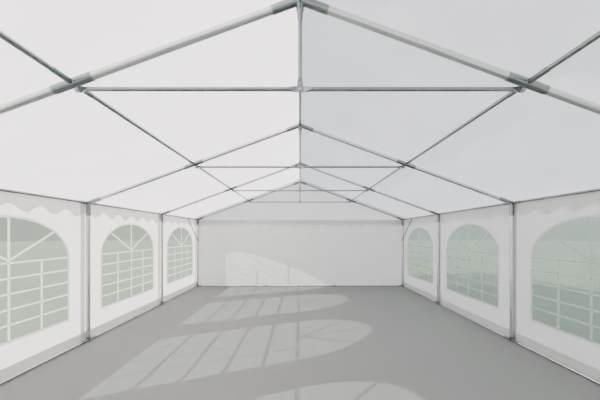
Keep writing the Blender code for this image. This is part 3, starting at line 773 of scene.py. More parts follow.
def add_node(tree, kind, settings=None, inputs=None):
    """Adds a node, sets its properties, and fills each input with a value, or with a link from a
    socket or from a node's first socket."""
    made = tree.nodes.new(kind)
    for key, value in (settings or {}).items():
        setattr(made, key, value)
    for key, value in (inputs or {}).items():
        if isinstance(value, bpy.types.Node):
            value = value.outputs[0]
        if isinstance(value, bpy.types.NodeSocket):
            tree.links.new(value, made.inputs[key])
        else:
            made.inputs[key].default_value = value
    return made


def shades(colour, low, high=1.0):
    """The two colours that a mix goes between: a colour times low, and times high."""
    return {k: (*(min(1.0, c * factor) for c in colour), 1.0) for k, factor in ((6, low), (7, high))}


def wave_scale(spacing_mm):
    """Scale of a wave pattern whose bands lie that far apart: it has 20 * scale / (2 pi) to a metre."""
    return 2 * math.pi / (20 * spacing_mm / 1000)


def zinc(add, colour, rough, grain_mm, contrast):
    """Zinc on steel: grains of the zinc crystals with a faint cloudy bloom. The eye sees a satin
    metal whose patches differ a little in brightness."""
    here = add("ShaderNodeTexCoord").outputs["Object"]
    grain = add("ShaderNodeTexVoronoi", None, {"Vector": here, "Scale": 1000 / grain_mm, "Randomness": 1.0})
    bloom = add("ShaderNodeTexNoise", None, {"Vector": here, "Scale": 9.0, "Detail": 4.0, "Roughness": 0.6})
    split = add("ShaderNodeSeparateColor", None, {0: grain.outputs["Color"]})
    tone = add("ShaderNodeMix", MIX, {0: split, **shades(colour, 1 - contrast, 1 + contrast)})
    cloudy = add("ShaderNodeMix", SOFT_LIGHT, {0: 0.35, 6: tone.outputs[2], 7: bloom.outputs["Color"]})
    matt = add("ShaderNodeMapRange", None, {0: bloom, 1: 0.3, 2: 0.7, 3: rough - 0.03, 4: rough + 0.05})
    bump = add("ShaderNodeBump", None, {"Strength": 0.06, "Distance": 0.0003, "Height": bloom})
    look = {"Base Color": cloudy.outputs[2], "Metallic": 0.9, "Roughness": matt, "Normal": bump}
    return add("ShaderNodeBsdfPrincipled", None, look)


def coated_sheet(add, colour, share, cloud):
    """Polyester scrim between two coats of white vinyl. The eye sees a smooth, slightly glossy
    sheet that glows with the light behind it, a faint grid of threads, and soft clouds.
    share is how much of its light passes on through, of what it doesn't take up. The real threads
    lie 1 mm apart. They are drawn 7 mm apart, so that a few show. cloud is a step in the scale of
    the clouds, which sets one kind of sheet apart from the next."""
    here, cut = add("ShaderNodeTexCoord").outputs["Object"], add("ShaderNodeUVMap", {"uv_map": "cut"})
    bands = {"wave_type": "BANDS", "wave_profile": "SIN"}
    lie = {"Vector": cut, "Scale": wave_scale(7), "Distortion": 0.0}
    ways = [add("ShaderNodeTexWave", {**bands, "bands_direction": way}, lie).outputs[1] for way in "XY"]
    threads = add("ShaderNodeMath", {"operation": "MULTIPLY"}, dict(enumerate(ways)))
    lie = {"Vector": here, "Scale": 1.7 + 0.1 * cloud, "Detail": 5.0, "Roughness": 0.55}
    soft = add("ShaderNodeMapRange", None, {0: add("ShaderNodeTexNoise", None, lie), 1: 0.3, 2: 0.7})
    woven = []
    for dark, depth in ((0.965, 0.05), (0.955, 0.04)):
        tint = add("ShaderNodeMix", MIX, {0: soft, **shades(colour, dark)})
        woven.append(add("ShaderNodeMix", MULTIPLY, {0: depth, 6: tint.outputs[2], 7: threads}).outputs[2])
    bump = add("ShaderNodeBump", None, {"Strength": 0.10, "Distance": 0.0006, "Height": threads})
    look = {"Base Color": woven[0], "Roughness": 0.42, "IOR": 1.5, "Normal": bump}
    front = add("ShaderNodeBsdfPrincipled", None, look)
    behind = add("ShaderNodeBsdfTranslucent", None, {"Color": woven[1]})
    return add("ShaderNodeMixShader", None, {0: share, 1: front, 2: behind})


def clear_film(add, colour):
    """Clear calendered vinyl film: see-through with a faint green-grey tint and a little milk, and
    glossy at a low angle."""
    here = add("ShaderNodeTexCoord").outputs["Object"]
    wave = add("ShaderNodeTexNoise", None, {"Vector": here, "Scale": 3.0, "Detail": 2.0, "Roughness": 0.4})
    bump = add("ShaderNodeBump", None, {"Strength": 0.08, "Distance": 0.01, "Height": wave})
    clear = add("ShaderNodeBsdfTransparent", None, {"Color": (*colour, 1.0)})
    milk = add("ShaderNodeBsdfTranslucent", None, {"Color": (*colour, 1.0)})
    milky = add("ShaderNodeMixShader", None, {0: 0.06, 1: clear, 2: milk})
    look = {"Color": (1, 1, 1, 1), "Roughness": 0.06, "Normal": bump}
    gloss = add("ShaderNodeBsdfAnisotropic", None, look)
    facing = add("ShaderNodeLayerWeight", None, {"Blend": 0.5}).outputs["Facing"]
    steep = add("ShaderNodeMath", {"operation": "POWER"}, {0: facing, 1: 5.0})
    edge_on = add("ShaderNodeMapRange", None, {0: steep, 3: 0.04, 4: 1.0})
    return add("ShaderNodeMixShader", None, {0: edge_on, 1: milky, 2: gloss})


def ribbed_webbing(add, colour):
    """Woven polyester webbing: fine ribs across it, just under 3 mm apart, and no gloss."""
    here = add("ShaderNodeTexCoord").outputs["Object"]
    lie = {"Vector": here, "Scale": wave_scale(2.992), "Distortion": 0.4}
    ribs = add("ShaderNodeTexWave", {"wave_type": "BANDS", "bands_direction": "X"}, lie).outputs[1]
    tone = add("ShaderNodeMix", MIX, {0: ribs, **shades(colour, 0.8)})
    bump = add("ShaderNodeBump", None, {"Strength": 0.5, "Distance": 0.0008, "Height": ribs})
    look = {"Base Color": tone.outputs[2], "Roughness": 0.85, "Normal": bump}
    return add("ShaderNodeBsdfPrincipled", None, look)


def flat_paint(add, colour):
    """Pale, flat floor paint, with faint clouds."""
    here = add("ShaderNodeTexCoord").outputs["Object"]
    speck = add("ShaderNodeTexNoise", None, {"Vector": here, "Scale": 2.2, "Detail": 4.0, "Roughness": 0.6})
    tone = add("ShaderNodeMix", MIX, {0: speck, **shades(colour, 0.97, 1.02)})
    return add("ShaderNodeBsdfPrincipled", None, {"Base Color": tone.outputs[2], "Roughness": 0.75})


# Each kind of finish: its material's name, what makes its surface, its colour, and the values for
# the surface, which are for zinc its roughness, the grains' width in millimetres and their
# contrast, and for a sheet the share of light that passes and a step in its clouds' scale
FINISHES = {
    # Steel tube drawn through zinc at the mill: smooth satin, with small grains
    "tube": ("pregalvanised_steel_tube", zinc, "tube", 0.17, 7.0, 0.04),
    # The same on thin tube: a little greyer, and as smooth
    "thin_tube": ("galvanised_thin_tube", zinc, "thin_tube", 0.18, 6.0, 0.05),
    # Steel fittings dipped in zinc after welding: duller, with larger grains
    "fitting": ("hot_dip_galvanised_fitting", zinc, "fitting", 0.20, 12.0, 0.07),
    # Weld beads under zinc: the dullest steel, with a broken sheen
    "weld": ("galvanised_weld_bead", zinc, "weld", 0.50, 4.0, 0.12),
    # Bright zinc plate on bolts, nuts and washers
    "bolt": ("zinc_plated_bolt", zinc, "bolt", 0.22, 2.5, 0.03),
    # The roof's slopes: the sheet that glows most
    "roof": ("coated_polyester_roof", coated_sheet, "roof", 0.83, 0),
    # The roof's sheet where it is doubled: denser, so that it glows less
    "roof_band": ("doubled_polyester_roof", coated_sheet, "roof", 0.68, 0),
    # The side valances: denser than the slopes, so that they show through the side walls
    "valance": ("coated_polyester_valance", coated_sheet, "roof", 0.66, 0),
    # The gables' valances: the densest, so that their waves show through the end walls
    "gable_valance": ("coated_polyester_gable_valance", coated_sheet, "roof", 0.44, 0),
    # The side walls: a little denser than the roof
    "wall": ("coated_polyester_wall", coated_sheet, "wall", 0.66, 1),
    # The walls' sheet where it is doubled beside the posts: denser, so that it glows less. On the right wall
    # it also paints the posts' shade.
    "wall_strip": ("doubled_polyester_wall", coated_sheet, "wall", 0.57, 1),
    # The foot hem, doubled round its own welt: it glows least
    "hem": ("hemmed_polyester_wall", coated_sheet, "wall", 0.42, 1),
    # The end walls: dense, so that light that falls on them from inside shows best
    "end_wall": ("coated_polyester_end_wall", coated_sheet, "wall", 0.58, 1),
    # White vinyl strips, cut and welded on: smooth, and they glow a little
    "bar": ("welded_white_vinyl_strip", coated_sheet, "bar", 0.90, 2),
    # Calendered vinyl: clear and glossy
    "film": ("clear_vinyl_film", clear_film, "film"),
    # Woven webbing: ribbed and dull
    "webbing": ("woven_polyester_webbing", ribbed_webbing, "webbing"),
    # Floor paint: pale and flat
    "floor": ("pale_studio_floor", flat_paint, "floor"),
}


def finish(kind):
    """The material of a kind of finish: the one that is there, or a new one."""
    name, surface, colour, *values = FINISHES[kind]
    made = bpy.data.materials.get(name)
    if made is None:
        made = bpy.data.materials.new(name)
        made.use_nodes = True
        made.node_tree.nodes.clear()
        add = partial(add_node, made.node_tree)
        shown = surface(add, tuple(getattr(bpy.context.scene.marquee_colours, colour)), *values)
        add("ShaderNodeOutputMaterial", None, {0: shown})
    return made


# Steel pieces


def radii():
    """Radii of the main tube, its sleeve, the purlin tube and its sleeve."""
    sizes = steel()
    main, purlin = sizes.main_tube / 2, sizes.purlin_tube / 2
    return main, main + sizes.sleeve_wall, purlin, purlin + sizes.sleeve_wall - SOCKET_GAP


def up_slope(side):
    """Direction of a rafter, from its eave to the ridge."""
    return np.array((-side * math.cos(SLOPE), 0, math.sin(SLOPE)))


def neighbours(index):
    """Directions along Y in which a frame has another one beside it."""
    return [turn for turn in (-1, 1) if 0 <= index + turn < FRAME_COUNT]


def stubs(node, index, length, main_axis):
    """Hollow stubs along Y for the lengthwise tubes, and the beads that join them on."""
    _, big, purlin, stub = radii()
    hollow, beads = [], []
    up = unit(main_axis)
    for turn in neighbours(index):
        out = turn * ALONG_Y
        hollow.append(tube(node + 0.016 * out, node + length * out, stub, purlin + SOCKET_GAP))
        beads.append(saddle_bead(node, out, np.cross(ALONG_Y, up), up, stub, big))
    return hollow, beads


def steel_post(side, index):
    """A post: foot sleeve with its stubs, tube, and the bent eave fitting with its stubs."""
    main, big, purlin, stub = radii()
    ground, foot, eave = (np.array((side * HALF_SPAN, FRAME_YS[index], z)) for z in (0.0, BAR_Z, EAVE_Z))
    low, high = eave - EAVE_LEG * UP, eave + EAVE_ARM * up_slope(side)
    bore = main + SOCKET_GAP
    fittings = [tube(ground, ground + FOOT_SLEEVE * UP, big, bore), bent_sleeve(low, eave, high, bore, big)]
    beads = [knee_bead(low, eave, high, big)]
    for node, length in ((eave, STUB), (foot, FOOT_STUB)):
        hollow, joints = stubs(node, index, length, UP)
        fittings += hollow
        beads += joints
    if len(neighbours(index)) == 1:
        inward = np.array((-side, 0.0, 0.0))
        fittings.append(tube(foot + 0.022 * inward, foot + FOOT_STUB * inward, stub, purlin + SOCKET_GAP))
        beads.append(saddle_bead(foot, inward, ALONG_Y, UP, stub, big))
    tubes = [tube(ground + 0.002 * UP, eave - TUBE_STOP * UP, main)]
    name = "post_%s_%d" % (SIDE_WORD[side], index + 1)
    return steel_piece(name, "galvanised_fitting", tube=tubes, fitting=fittings, weld=beads)


def steel_rafter(side, index):
    """A rafter: tube, mid-slope sleeve with its stubs, and the lug that carries the tie beam."""
    main, big, _, _ = radii()
    y, slope = FRAME_YS[index], up_slope(side)
    eave, joint = np.array((side * HALF_SPAN, y, EAVE_Z)), np.array((side * SLOPE_X, y, SLOPE_Z))
    head = eave + (RAFTER_LENGTH - RAFTER_HEAD_STOP) * slope
    tubes = [tube(eave + RAFTER_FOOT_STOP * slope, head, main)]
    hollow, beads = stubs(joint, index, STUB, slope)
    ends = joint - SLOPE_ARM * slope, joint + SLOPE_ARM * slope
    fittings = [tube(*ends, big, main + SOCKET_GAP), *hollow]
    lug_x, above = side * TIE_BOLT_X, RIDGE_Z - TIE_BOLT_X * math.tan(SLOPE)
    t = np.linspace(math.pi, 2 * math.pi, 25)
    outline = together(lug_x + LUG_HALF * np.cos(t), TIE_Z + LUG_HALF * np.sin(t))
    top = [[lug_x + LUG_HALF, above - 0.020], [lug_x - LUG_HALF, above - 0.020]]
    fittings.append(plate(np.vstack([outline, top]), y - 0.003, y + 0.003))
    under = np.array((lug_x, y, above - big / math.cos(SLOPE) + 0.0008))
    lie = around((LUG_HALF, 0, -side * LUG_HALF * math.tan(SLOPE)), (0, 0.0035, 0), 72)
    beads.append(weld_bead(under + lie, steel().weld * 0.8, 16))
    name = "rafter_%s_%d" % (SIDE_WORD[side], index + 1)
    return steel_piece(name, "galvanised_tube", tube=tubes, fitting=fittings, weld=beads)


def steel_king_post(index):
    """The ridge fitting with its stubs, and the king post: a stepped collar, a tube, and a pressed
    end that is bolted to the tie beam. The collar's bead follows the sleeves above it."""
    main, big, _, _ = radii()
    y = FRAME_YS[index]
    ridge, top = np.array((0.0, y, RIDGE_Z)), RIDGE_Z - 0.016
    ends = [ridge - RIDGE_ARM * up_slope(side) for side in (LEFT, RIGHT)]
    hollow, joints = stubs(ridge, index, STUB, (1, 0, 0))
    collar = turned((0, y, top), (0, 0, -1), together(COLLAR_DOWN, COLLAR_RADII))
    fittings = [bent_sleeve(ends[0], ridge, ends[1], main + SOCKET_GAP, big), *hollow, collar]
    ring = 0.0255 * around((1, 0, 0), (0, 1, 0), BEAD_POINTS)
    ring[:, 2] = -np.abs(ring[:, 0]) * math.tan(SLOPE) - np.sqrt(big**2 - ring[:, 1] ** 2) / math.cos(SLOPE)
    beads = [knee_bead(ends[0], ridge, ends[1], big), *joints, weld_bead(ridge + ring, steel().weld, 26)]
    path = (0, y, top - 0.10), (0, y, TIE_Z - PRESSED_WIDTH / 2)
    king = pressed_tube(path, steel().king_tube / 2, (0.0, 0.0058), (0, 0.050))
    bolts = bolt((0, y + 0.0018, TIE_Z), ALONG_Y, 0.0100)
    shapes = {"fitting": fittings, "thin_tube": [king], "weld": beads, "bolt": bolts}
    return steel_piece("king_post_%d" % (index + 1), "galvanised_fitting", **shapes)


def steel_tie_beam(index):
    """A tie beam: two tubes with pressed ends, bolted to the lugs and to the king post."""
    y, half = FRAME_YS[index], PRESSED_WIDTH / 2
    halves, bolts = [], []
    for side in (LEFT, RIGHT):
        path = (-side * half, y, TIE_Z), (side * (TIE_BOLT_X + half), y, TIE_Z)
        halves.append(pressed_tube(path, steel().tie_tube / 2, (0.0015 * side, 0.0046)))
        bolts += bolt((side * TIE_BOLT_X, y + 0.0014, TIE_Z), ALONG_Y, 0.0092)
    return steel_piece("tie_beam_%d" % (index + 1), "galvanised_tube", thin_tube=halves, bolt=bolts)


def steel_line(name, x, z, kind="thin_tube"):
    """A lengthwise line: one tube in each bay, from stub to stub."""
    radius = steel().purlin_tube / 2
    bays = zip(FRAME_YS, FRAME_YS[1:])
    tubes = [tube((x, a + TUBE_STOP, z), (x, b - TUBE_STOP, z), radius) for a, b in bays]
    return steel_piece(name, "galvanised_tube", "tubes", **{kind: tubes})


def steel_cross_bar(name, y, start_x, stop_x, joints=(), cap_way=0):
    """A ground bar across the tent, with a sleeve over each joint. With a cap_way of -1 or 1 its end
    is free: it points that way along X and has a cap."""
    _, _, purlin, stub = radii()
    tubes = [tube((start_x, y, BAR_Z), (stop_x, y, BAR_Z), purlin)]
    bore = purlin + SOCKET_GAP
    fittings = [tube((x - 0.06, y, BAR_Z), (x + 0.06, y, BAR_Z), stub, bore) for x in joints]
    if cap_way:
        profile = [(0, purlin + 0.0008), (0.014, purlin + 0.0008), (0.016, purlin - 0.0015)]
        fittings.append(turned((stop_x - cap_way * 0.016, y, BAR_Z), (cap_way, 0, 0), profile))
    return steel_piece(name, "galvanised_tube", "tubes", tube=tubes, fitting=fittings)


def ears(centre, inward, ring_axis, outer):
    """The two ears of a split collar: flat tongues that stand out from the ring, with rounded ends.
    Their outline lies in the plane of inward and the ring's axis: a rectangle and a half circle."""
    half, reach, root = 0.011, 0.012, -0.004
    turn = np.linspace(-math.pi / 2, math.pi / 2, 17)
    along = np.concatenate([[root], reach + half * np.cos(turn), [root]]) + outer
    aside = np.concatenate([[-half], half * np.sin(turn), [half]])
    flat = centre + along[:, None] * inward + aside[:, None] * ring_axis
    across = np.cross(ring_axis, inward)
    return [skin([flat + low * across, flat + (low + 0.003) * across]) for low in (-0.0045, 0.0015)]


def steel_brace(side, end):
    """A corner brace: a tube from a collar on the post to a collar on the eave purlin. Each collar
    is a ring with two ears and a bolt."""
    main, big, purlin, stub = radii()
    name = "corner_brace_%s_%s" % (END_WORD[end], SIDE_WORD[side])
    corners = np.array(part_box(name))
    collar = 0.020
    inner_y = corners[0 if end == BACK else 1, 1] + end * collar
    low = np.array((side * HALF_SPAN, end * HALF_LENGTH, corners[0, 2] + collar))
    high = np.array((side * HALF_SPAN, inner_y, EAVE_Z))
    along, radius = unit(high - low), steel().brace_tube / 2
    tubes = [tube(low + (big - 0.004) * along, high - (stub - 0.004) * along, radius)]
    fittings = [
        tube(low - collar * UP, low + collar * UP, big, main + SOCKET_GAP),
        tube(high - collar * ALONG_Y, high + collar * ALONG_Y, stub, purlin + SOCKET_GAP),
    ]
    rim = radius * around(*square_axes(along), BEAD_POINTS)
    joints = low + (big + 0.004) * along, high - (stub + 0.004) * along
    beads = [weld_bead(joint + rim, steel().weld, 22) for joint in joints]
    inward = np.array((-side, 0.0, 0.0))
    fittings += ears(low, inward, UP, big) + ears(high, inward, ALONG_Y, stub)
    bolts = bolt(low + (big + 0.012) * inward, end * ALONG_Y, 0.009)
    bolts += bolt(high + (stub + 0.012) * inward, -UP, 0.009)
    shapes = {"thin_tube": tubes, "fitting": fittings, "weld": beads, "bolt": bolts}
    return steel_piece(name, "galvanised_tube", **shapes)


# Sheet pieces


def finish_below(made, height, kind):
    """Gives a second finish to the faces whose middles lie below a height."""
    made.data.materials.append(finish(kind))
    middles = np.empty(3 * len(made.data.polygons), np.float32)
    made.data.polygons.foreach_get("center", middles)
    below = middles[2::3] < height
    made.data.polygons.foreach_set("material_index", below.astype(np.int32))


def make_roof():
    """The roof sheet with its side valances, and the doubled bands at its two ends."""
    ys = roof_ys()
    grid, uv = roof_grid(ys)
    roof = sheet_piece("roof_sheet", [grid_part(grid, uv)], "roof", ["roof_cover"])
    finish_below(roof, EAVE_Z - EAVE_ROUND, "valance")
    bands = []
    for end in (FRONT, BACK):
        band_ys = np.sort(end * np.linspace(HALF_END - 0.001, HALF_END - sheets().end_band, 9))
        part = grid_part(*band_grid(grid, uv, ys, band_ys, BAND_OUT))
        name = "roof_end_band_%s" % END_WORD[end]
        bands.append(sheet_piece(name, [part], "roof_band", ["roof_cover"]))
    return roof, bands


def make_gable(end):
    """A gable: a triangle from the eave to the roof's section, with its own scalloped valance, and
    a piping along its slopes."""
    sizes = sheets()
    xs = np.linspace(-HALF_WIDTH, HALF_WIDTH, round(2 * HALF_WIDTH / scallop_pitch() * 12) + 1)[None]
    waist, foot, head = EAVE_Z - 0.02, scallop_z(xs), roof_z(xs) - 0.0006
    low_rows = np.linspace(0, 1, 7)[:, None]
    high_rows = np.linspace(0, 1, round((RIDGE_Z + SHEET_LIFT - waist) / sizes.mesh_step))[1:, None]
    z = np.vstack([foot + (waist - foot) * low_rows, waist + (head - waist) * high_rows])
    loose = np.clip((head - z) / 0.15, 0, 1) * np.clip((HALF_WIDTH - np.abs(xs)) / 0.3, 0, 1)
    wave = ripples(xs, z, 60 + end, GABLE_WAVES, 0.002) + storage_folds(xs, z, 62 + end, 0.7, 0.0009)
    hung = np.clip((waist - z) / (waist - EAVE_Z + sizes.valance_drop), 0, 1) ** 1.5
    flare = valance_flare(xs, HALF_WIDTH, 31 + end) * hung
    y = end * (HALF_END + flare + loose * np.where(z > waist, np.minimum(wave, 0.0012), 0.0))
    part = grid_part(together(xs, y, z), together(xs, z))
    gable = sheet_piece("gable_%s" % END_WORD[end], [part], "roof", ["roof_cover"])
    finish_below(gable, waist, "gable_valance")
    (x, line_z), _, _ = roof_profile(2 * sizes.mesh_step)
    path = together(both_halves(x, -1), end * HALF_END, both_halves(line_z))
    cord_up = np.cross(unit(np.gradient(path, axis=0)), ALONG_Y)
    cord = skin(path[:, None] + 0.0034 * around(ALONG_Y, cord_up, 12))
    groups, uv = [([cord], finish("wall"))], np.zeros((len(cord[0]), 2))
    return gable, piece("gable_piping_%s" % END_WORD[end], groups, (), 50, uv)


def make_side_wall(side):
    """A side wall with its arched openings, its post strips, which on the right wall also paint the posts'
    shade, and its foot hem.
    """
    sizes = sheets()
    place = partial(on_side_wall, side)
    u, z = bay_panel(sizes.mesh_step)
    reach = HALF_LENGTH + SIDE_WALL_PAST
    parts = []
    for k, y in enumerate(FRAME_YS[:-1]):
        wide = u + (y + BAY / 2)
        wide = np.where(np.abs(np.abs(wide) - HALF_LENGTH) < 1e-6, np.sign(wide) * reach, wide)
        points, quads, uv = grid_part(place(wide, z), together(wide, z), True)
        parts.append((points, quads + k * len(points), uv))
    points, quads, uv = welded(*(np.vstack(arrays) for arrays in zip(*parts)))
    if side == LEFT:
        quads = quads[:, ::-1]
    node = "side_wall_%s" % SIDE_WORD[side]
    wall = sheet_piece(node + "_sheet", [(points, quads, uv)], "wall", [node])
    # On the right wall the strips lie where the posts' shade falls, and paint that shade as a denser sheet.
    start, stop = STRIP_AND_SHADE_START[side], min(STRIP_AND_SHADE_START[side] + sizes.strip, STRIP_LIMIT)
    heights = np.linspace(WALL_FOOT + 0.001, WALL_TOP - 0.001, 50)[:, None]
    strips = []
    for y in FRAME_YS[1:]:
        us = np.linspace(y + start, y + stop, 4)[None]
        strips.append(wall_part(us, heights, place, STRIP_OUT))
    strip = sheet_piece(node + "_strips", strips, "wall_strip")
    us, heights = np.linspace(-reach, reach, 201)[None], np.linspace(WALL_FOOT, WALL_FOOT + sizes.hem, 6)
    hem = sheet_piece(node + "_hem", [wall_part(us, heights[:, None], place, HEM_OUT)], "hem")
    return wall, strip, hem


def window_bars(mid, place):
    """The bars on the inner face of a window: rows up to the spring line, columns, and two spokes
    from the middle to the arch. Their ends reach past the window's outline."""
    sizes = windows()
    half, past = sizes.width / 2, BAR_PAST
    parts = []
    for j in range(1, sizes.rows + 1):
        z = sizes.sill + (sizes.spring - sizes.sill) * j / sizes.rows
        ends = (mid - half - past, z), (mid + half + past, z)
        parts.append(ribbon(*ends, sizes.row_bar, place, ROW_BAR_OUT))
    for j in range(1, sizes.columns):
        u = mid - half + sizes.width * j / sizes.columns
        top = sizes.spring + (sizes.rise + past if 2 * j == sizes.columns else sizes.row_bar / 2)
        parts.append(ribbon((u, sizes.sill - past), (u, top), sizes.column_bar, place, COLUMN_BAR_OUT))
    tip_u = 0.505
    tip_z = sizes.spring + sizes.rise * math.sqrt(1 - (tip_u / half) ** 2)
    for turn in (-1, 1):
        hub, tip = np.array((mid + 0.01 * turn, sizes.spring + 0.030)), np.array((mid + tip_u * turn, tip_z))
        end = tip + unit(tip - hub) * past
        parts.append(ribbon(hub, end, sizes.column_bar, place, SPOKE_OUT + 0.0003 * turn))
    return parts


def make_windows(side):
    """The clear panes and white bars of one side wall. A pane laps the sheet round its opening, and
    its half width is w up to the spring line and w * cos(t) at height rise * sin(t) above it."""
    sizes = windows()
    place = partial(on_side_wall, side)
    t = np.linspace(0, math.radians(88.5), 22)[1:]
    straight = np.linspace(sizes.sill - FILM_LAP, sizes.spring, 22)
    z = np.concatenate([straight, sizes.spring + (sizes.rise + FILM_LAP) * np.sin(t)])[:, None]
    half = (sizes.width / 2 + FILM_LAP) * np.concatenate([np.ones(22), np.cos(t)])[:, None]
    panes, bar_sets = [], []
    for k, y in enumerate(FRAME_YS[:-1]):
        mid = y + BAY / 2
        name = "window_%s_%d" % (SIDE_WORD[side], k + 1)
        us = mid + half * np.linspace(-1, 1, 33)[None]
        part = wall_part(us, np.broadcast_to(z, us.shape), place, FILM_OUT)
        node, slot = "window_film_%s" % SIDE_WORD[side], "window_film"
        panes.append(sheet_piece(name + "_film", [part], "film", [node], sizes.film))
        bar_sets.append(sheet_piece(name + "_bars", window_bars(mid, place), "bar", thickness=0.0005))
    return panes, bar_sets


def make_end_wall(name, node, end, low_u, high_u, low_z, high_z, hemmed):
    """A plain panel of an end wall, with a doubled foot hem where one shows."""
    sizes = sheets()
    place = partial(on_end_wall, end)
    us, zs = (
        np.linspace(low, high, max(4, round((high - low) / sizes.mesh_step)) + 1)
        for low, high in ((low_u, high_u), (low_z, high_z))
    )
    us, zs = us[None], zs[:, None]
    wall = sheet_piece(name, [wall_part(us, zs, place)], "end_wall", [node])
    if not hemmed:
        return wall, []
    zs = np.linspace(low_z, low_z + sizes.hem, 6)[:, None]
    return wall, [sheet_piece(name + "_hem", [wall_part(us, zs, place, END_HEM_OUT)], "hem")]


def door_roll_place():
    """Middle of the door roll along Y and Z, and its radius."""
    low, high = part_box("door_roll")
    return (low[1] + high[1]) / 2, (low[2] + high[2]) / 2, (high[2] - low[2]) / 2


def make_door_roll():
    """The door sheet, rolled up inwards under the header: a spiral whose radius grows evenly,
    r = r0 + (r1 - r0) * t / t_max, with as many turns as the doorway's height fills, and which
    hangs a little between its three ties."""
    low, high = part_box("door_roll")
    centre_y, centre_z, radius = door_roll_place()
    x = np.linspace(low[0] + 0.002, high[0] - 0.002, 41)[None]
    core, outer = 0.009, radius - 0.003
    turns = windows().door_head / (math.pi * (core + outer))
    t = np.linspace(0, 2 * math.pi * turns, round(turns * 40))[:, None]
    radius = core + (outer - core) * t / t[-1]
    gap = np.min(np.abs(x.T - TIE_XS), axis=1)
    pinch = 1 - TIE_PINCH * np.exp(-((gap / 0.05) ** 2))
    droop = -0.004 * np.clip(gap / 0.4, 0, 1) ** 2
    y = centre_y + radius * np.cos(t) * (ROLL_FLAT * pinch) + ripples(x, t * 0.05, 71, ROLL_WAVES, 0.0008)
    z = centre_z + droop + radius * np.sin(t) * pinch
    part = grid_part(together(x, y, z), together(x, t * 0.03))
    roll = sheet_piece("door_sheet_roll", [part], "wall", ["door_roll"], 0.0007)
    steps = np.hypot(radius[:, 0] * np.gradient(t[:, 0]), np.gradient(radius[:, 0]))
    return roll, float(np.sum(steps))


def make_ties():
    """Webbing ties with their toggles: each is a flat band round the roll, closed, that also runs
    up to the header. The band's section is a thin rectangle, carried round an oval."""
    centre_y, centre_z, outer = door_roll_place()
    half, wall_y = 0.0125, -HALF_LENGTH - WALL_OUT + 0.0012
    pinched = outer * (1 - TIE_PINCH)
    ry, rz = pinched * ROLL_FLAT + 0.0016, pinched + 0.0016
    toggle = [(0, 0.0035), (0.002, 0.006), (0.022, 0.0068), (0.042, 0.006), (0.044, 0.0035)]
    heights = np.linspace(centre_z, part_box("front_wall_header")[1][2] - 0.004, 8)
    shapes = []
    for x in TIE_XS:
        oval = np.array((x, centre_y, centre_z)) + around((0, ry, 0), (0, 0, rz), 64)
        out = around((0, 1, 0), (0, 0, 1), 64)
        corners = ((-half, 0.0), (-half, 0.0014), (half, 0.0014), (half, 0.0))
        rings = np.stack([oval + out * dr + np.array((dx, 0, 0)) for dx, dr in corners], axis=1)
        shapes.append(skin(rings, loop=True))
        corners = ((-half, 0.0), (half, 0.0), (half, 0.0013), (-half, 0.0013))
        shapes.append(skin([[(x + dx, wall_y + dy, z) for dx, dy in corners] for z in heights]))
        shapes.append(turned((x - 0.022, centre_y + ry + 0.006, centre_z), (1, 0, 0), toggle, sides=20))
    return piece("door_roll_ties", [(shapes, finish("webbing"))], (), 40)


# Operators


def for_each_frame(make):
    """Makes a piece on the left and on the right of every frame."""
    for index in range(FRAME_COUNT):
        for side in (LEFT, RIGHT):
            make(side, index)


class MARQUEE_OT_posts(bpy.types.Operator):
    """Posts with their foot sleeves and eave fittings."""

    bl_idname = "marquee.posts"
    bl_label = "Posts"

    def execute(self, context):
        for_each_frame(steel_post)
        return {"FINISHED"}


class MARQUEE_OT_rafters(bpy.types.Operator):
    """Rafters with their mid-slope sleeves and lugs."""

    bl_idname = "marquee.rafters"
    bl_label = "Rafters"

    def execute(self, context):
        for_each_frame(steel_rafter)
        return {"FINISHED"}


class MARQUEE_OT_king_posts(bpy.types.Operator):
    """Ridge fittings with their king posts."""

    bl_idname = "marquee.king_posts"
    bl_label = "King posts"

    def execute(self, context):
        for index in range(FRAME_COUNT):
            steel_king_post(index)
        return {"FINISHED"}


class MARQUEE_OT_tie_beams(bpy.types.Operator):
    """Tie beams with pressed and bolted ends."""

    bl_idname = "marquee.tie_beams"
    bl_label = "Tie beams"

    def execute(self, context):
        for index in range(FRAME_COUNT):
            steel_tie_beam(index)
        return {"FINISHED"}


class MARQUEE_OT_long_tubes(bpy.types.Operator):
    """Ridge, slope and eave purlins, and the ground bars."""

    bl_idname = "marquee.long_tubes"
    bl_label = "Purlins and ground bars"

    def execute(self, context):
        steel_line("ridge_purlin", 0.0, RIDGE_Z)
        stop = HALF_SPAN - TUBE_STOP
        for side in (LEFT, RIGHT):
            word = SIDE_WORD[side]
            steel_line("slope_purlin_%s" % word, side * SLOPE_X, SLOPE_Z)
            steel_line("eave_purlin_%s" % word, side * HALF_SPAN, EAVE_Z)
            steel_line("ground_bar_%s" % word, side * HALF_SPAN, BAR_Z, "tube")
            door = side * windows().door_width / 2
            steel_cross_bar("ground_bar_front_%s" % word, -HALF_LENGTH, side * stop, door, (), -side)
        steel_cross_bar("ground_bar_back", HALF_LENGTH, -stop, stop, (-HALF_SPAN / 3, HALF_SPAN / 3))
        return {"FINISHED"}


class MARQUEE_OT_braces(bpy.types.Operator):
    """Corner braces with their collars."""

    bl_idname = "marquee.braces"
    bl_label = "Corner braces"

    def execute(self, context):
        for side in (LEFT, RIGHT):
            for end in (FRONT, BACK):
                steel_brace(side, end)
        return {"FINISHED"}


class MARQUEE_OT_roof(bpy.types.Operator):
    """Roof sheet, gables and their bands and pipings."""

    bl_idname = "marquee.roof"
    bl_label = "Roof"

    def execute(self, context):
        roof, bands = make_roof()
        supports = ["ridge_purlin_tubes"]
        for word in SIDE_WORD.values():
            supports += ["slope_purlin_%s_tubes" % word, "eave_purlin_%s_tubes" % word]
            supports += ["rafter_%s_%d_steel" % (word, k + 1) for k in range(FRAME_COUNT)]
        for end in (FRONT, BACK):
            gable, cord = make_gable(end)
        return {"FINISHED"}


